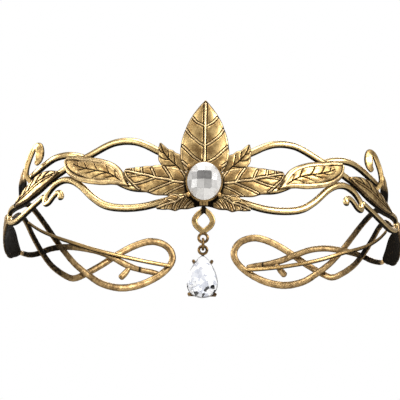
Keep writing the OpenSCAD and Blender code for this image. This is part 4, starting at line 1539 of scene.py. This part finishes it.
def build_strands(gold: Material, smooth_gold: Material, dark_gold: Material, brass: Material) -> None:
    """Build and dress every strand, the stay wires and the temple rings.

    Args:
        gold: finish of the temple rings.
        smooth_gold: finish of the front strands.
        dark_gold: finish of the back strands.
        brass: finish of the stay wires.
    """
    web = StrandWeb()
    hammered = {"blow_size": 1.4, "stain": 0.35, "under": 0.6}
    for side in Side:
        tail = side.name.lower()
        weave_rows, stay_rows = (WEAVE_LEFT, STAY_LEFT) if side is Side.LEFT else (WEAVE_RIGHT, STAY_RIGHT)
        strands = (
            (Strand(f"upper_strand_{tail}", (UPPER_STRAND,), side), smooth_gold, "gold"),
            (Strand(f"middle_strand_{tail}", (MIDDLE_STRAND,), side), smooth_gold, "gold"),
            (Strand(f"lower_strand_{tail}", (LOWER_STRAND,), side), smooth_gold, "gold"),
            (Strand(f"end_loop_{tail}", (END_LOOP,), side, blow=0.1,
                    inner_dark=(0.95, 0.1), **hammered), dark_gold, "dark_gold"),
            (Strand(f"weave_strand_{tail}", (weave_rows, TWIG), side, blow=0.08, inner_dark=(0.95, 0.15),
                    collar_from=105.0, nick_at=158.2, **hammered), dark_gold, "dark_gold"),
            (Strand(f"stay_wire_{tail}", (stay_rows,), side, STAY_WIDTH, STAY_DEPTH, 16,
                    inner_dark=(0.75, 0.0)), brass, "dark_gold"),
        )
        for strand, finish, slot in strands:
            dress(strand.mesh(web, finish), finish, slot, "circlet", strand.node)
        fine = rows_at(TEMPLE_RING, np.linspace(0, 1, 160))
        points = wall_points(fine, side)
        faces = turned(outward(points), -side.value * RING_TURN)
        thick = RING_THICK / 2 * MM
        ring = FlatStrip(f"temple_ring_{tail}", points, faces, fine[:, 3] * MM, thick, groove=0.2)
        dress(ring.mesh(), gold, "gold", "circlet", ring.node)


def main() -> None:
    """Build every sub-assembly in order."""
    logging.basicConfig(level=logging.INFO, format="%(name)s: %(message)s")
    Studio().build()
    gold, smooth_gold, dark_gold, brass, bronze, cup = (finish.build() for finish in (
        CastGold("antiqued_cast_gold_plate"),
        CastGold("polished_gold_plate_on_wire", body="#EACB90", wash="#A07A44", washed=0.45, polish=0.26),
        CastGold("brushed_gold_plate_brown_patina", bright="#E8D0A0", body="#B8996A", wash="#60482C",
                 washed=0.72, grain_mm=0.6, polish=0.34),
        CastGold("drawn_brass_wire", body="#D0AC72", wash="#866538", washed=0.4, polish=0.28),
        CastGold("gold_plate_over_dark_bronze", body="#8E7148", wash="#33251A", washed=0.95, patch_mm=1.5),
        CastGold("stone_cup_gold_plate_painted_shade", body="#D2AC70", shaded_from_mm=-79.9, shaded_to_mm=-78.6,
                 foot_shade_below_mm=-10.3),
    ))
    build_leaves(gold, dark_gold)
    build_strands(gold, smooth_gold, dark_gold, brass)
    for piece, finish in zip(Pendant().meshes(), (gold, bronze)):
        dress(piece, finish, "gold", "circlet", "pendant_loop")
    dress(BrowStone().mesh(), FoiledGlass().build(), "brow_stone", "circlet", "centre_stone")
    dress(DropStone().mesh(), ClearGlass().build(), "clear_stone", "drop", "drop_stone")
    for node, finish in (("stone_setting", cup), ("jump_ring", bronze), ("drop_setting", bronze)):
        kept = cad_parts[node]
        kept.data.materials.clear()
        kept.data.materials.append(finish)
        log.info("%s: kept from the solids", node)


if __name__ == "__main__":
    main()
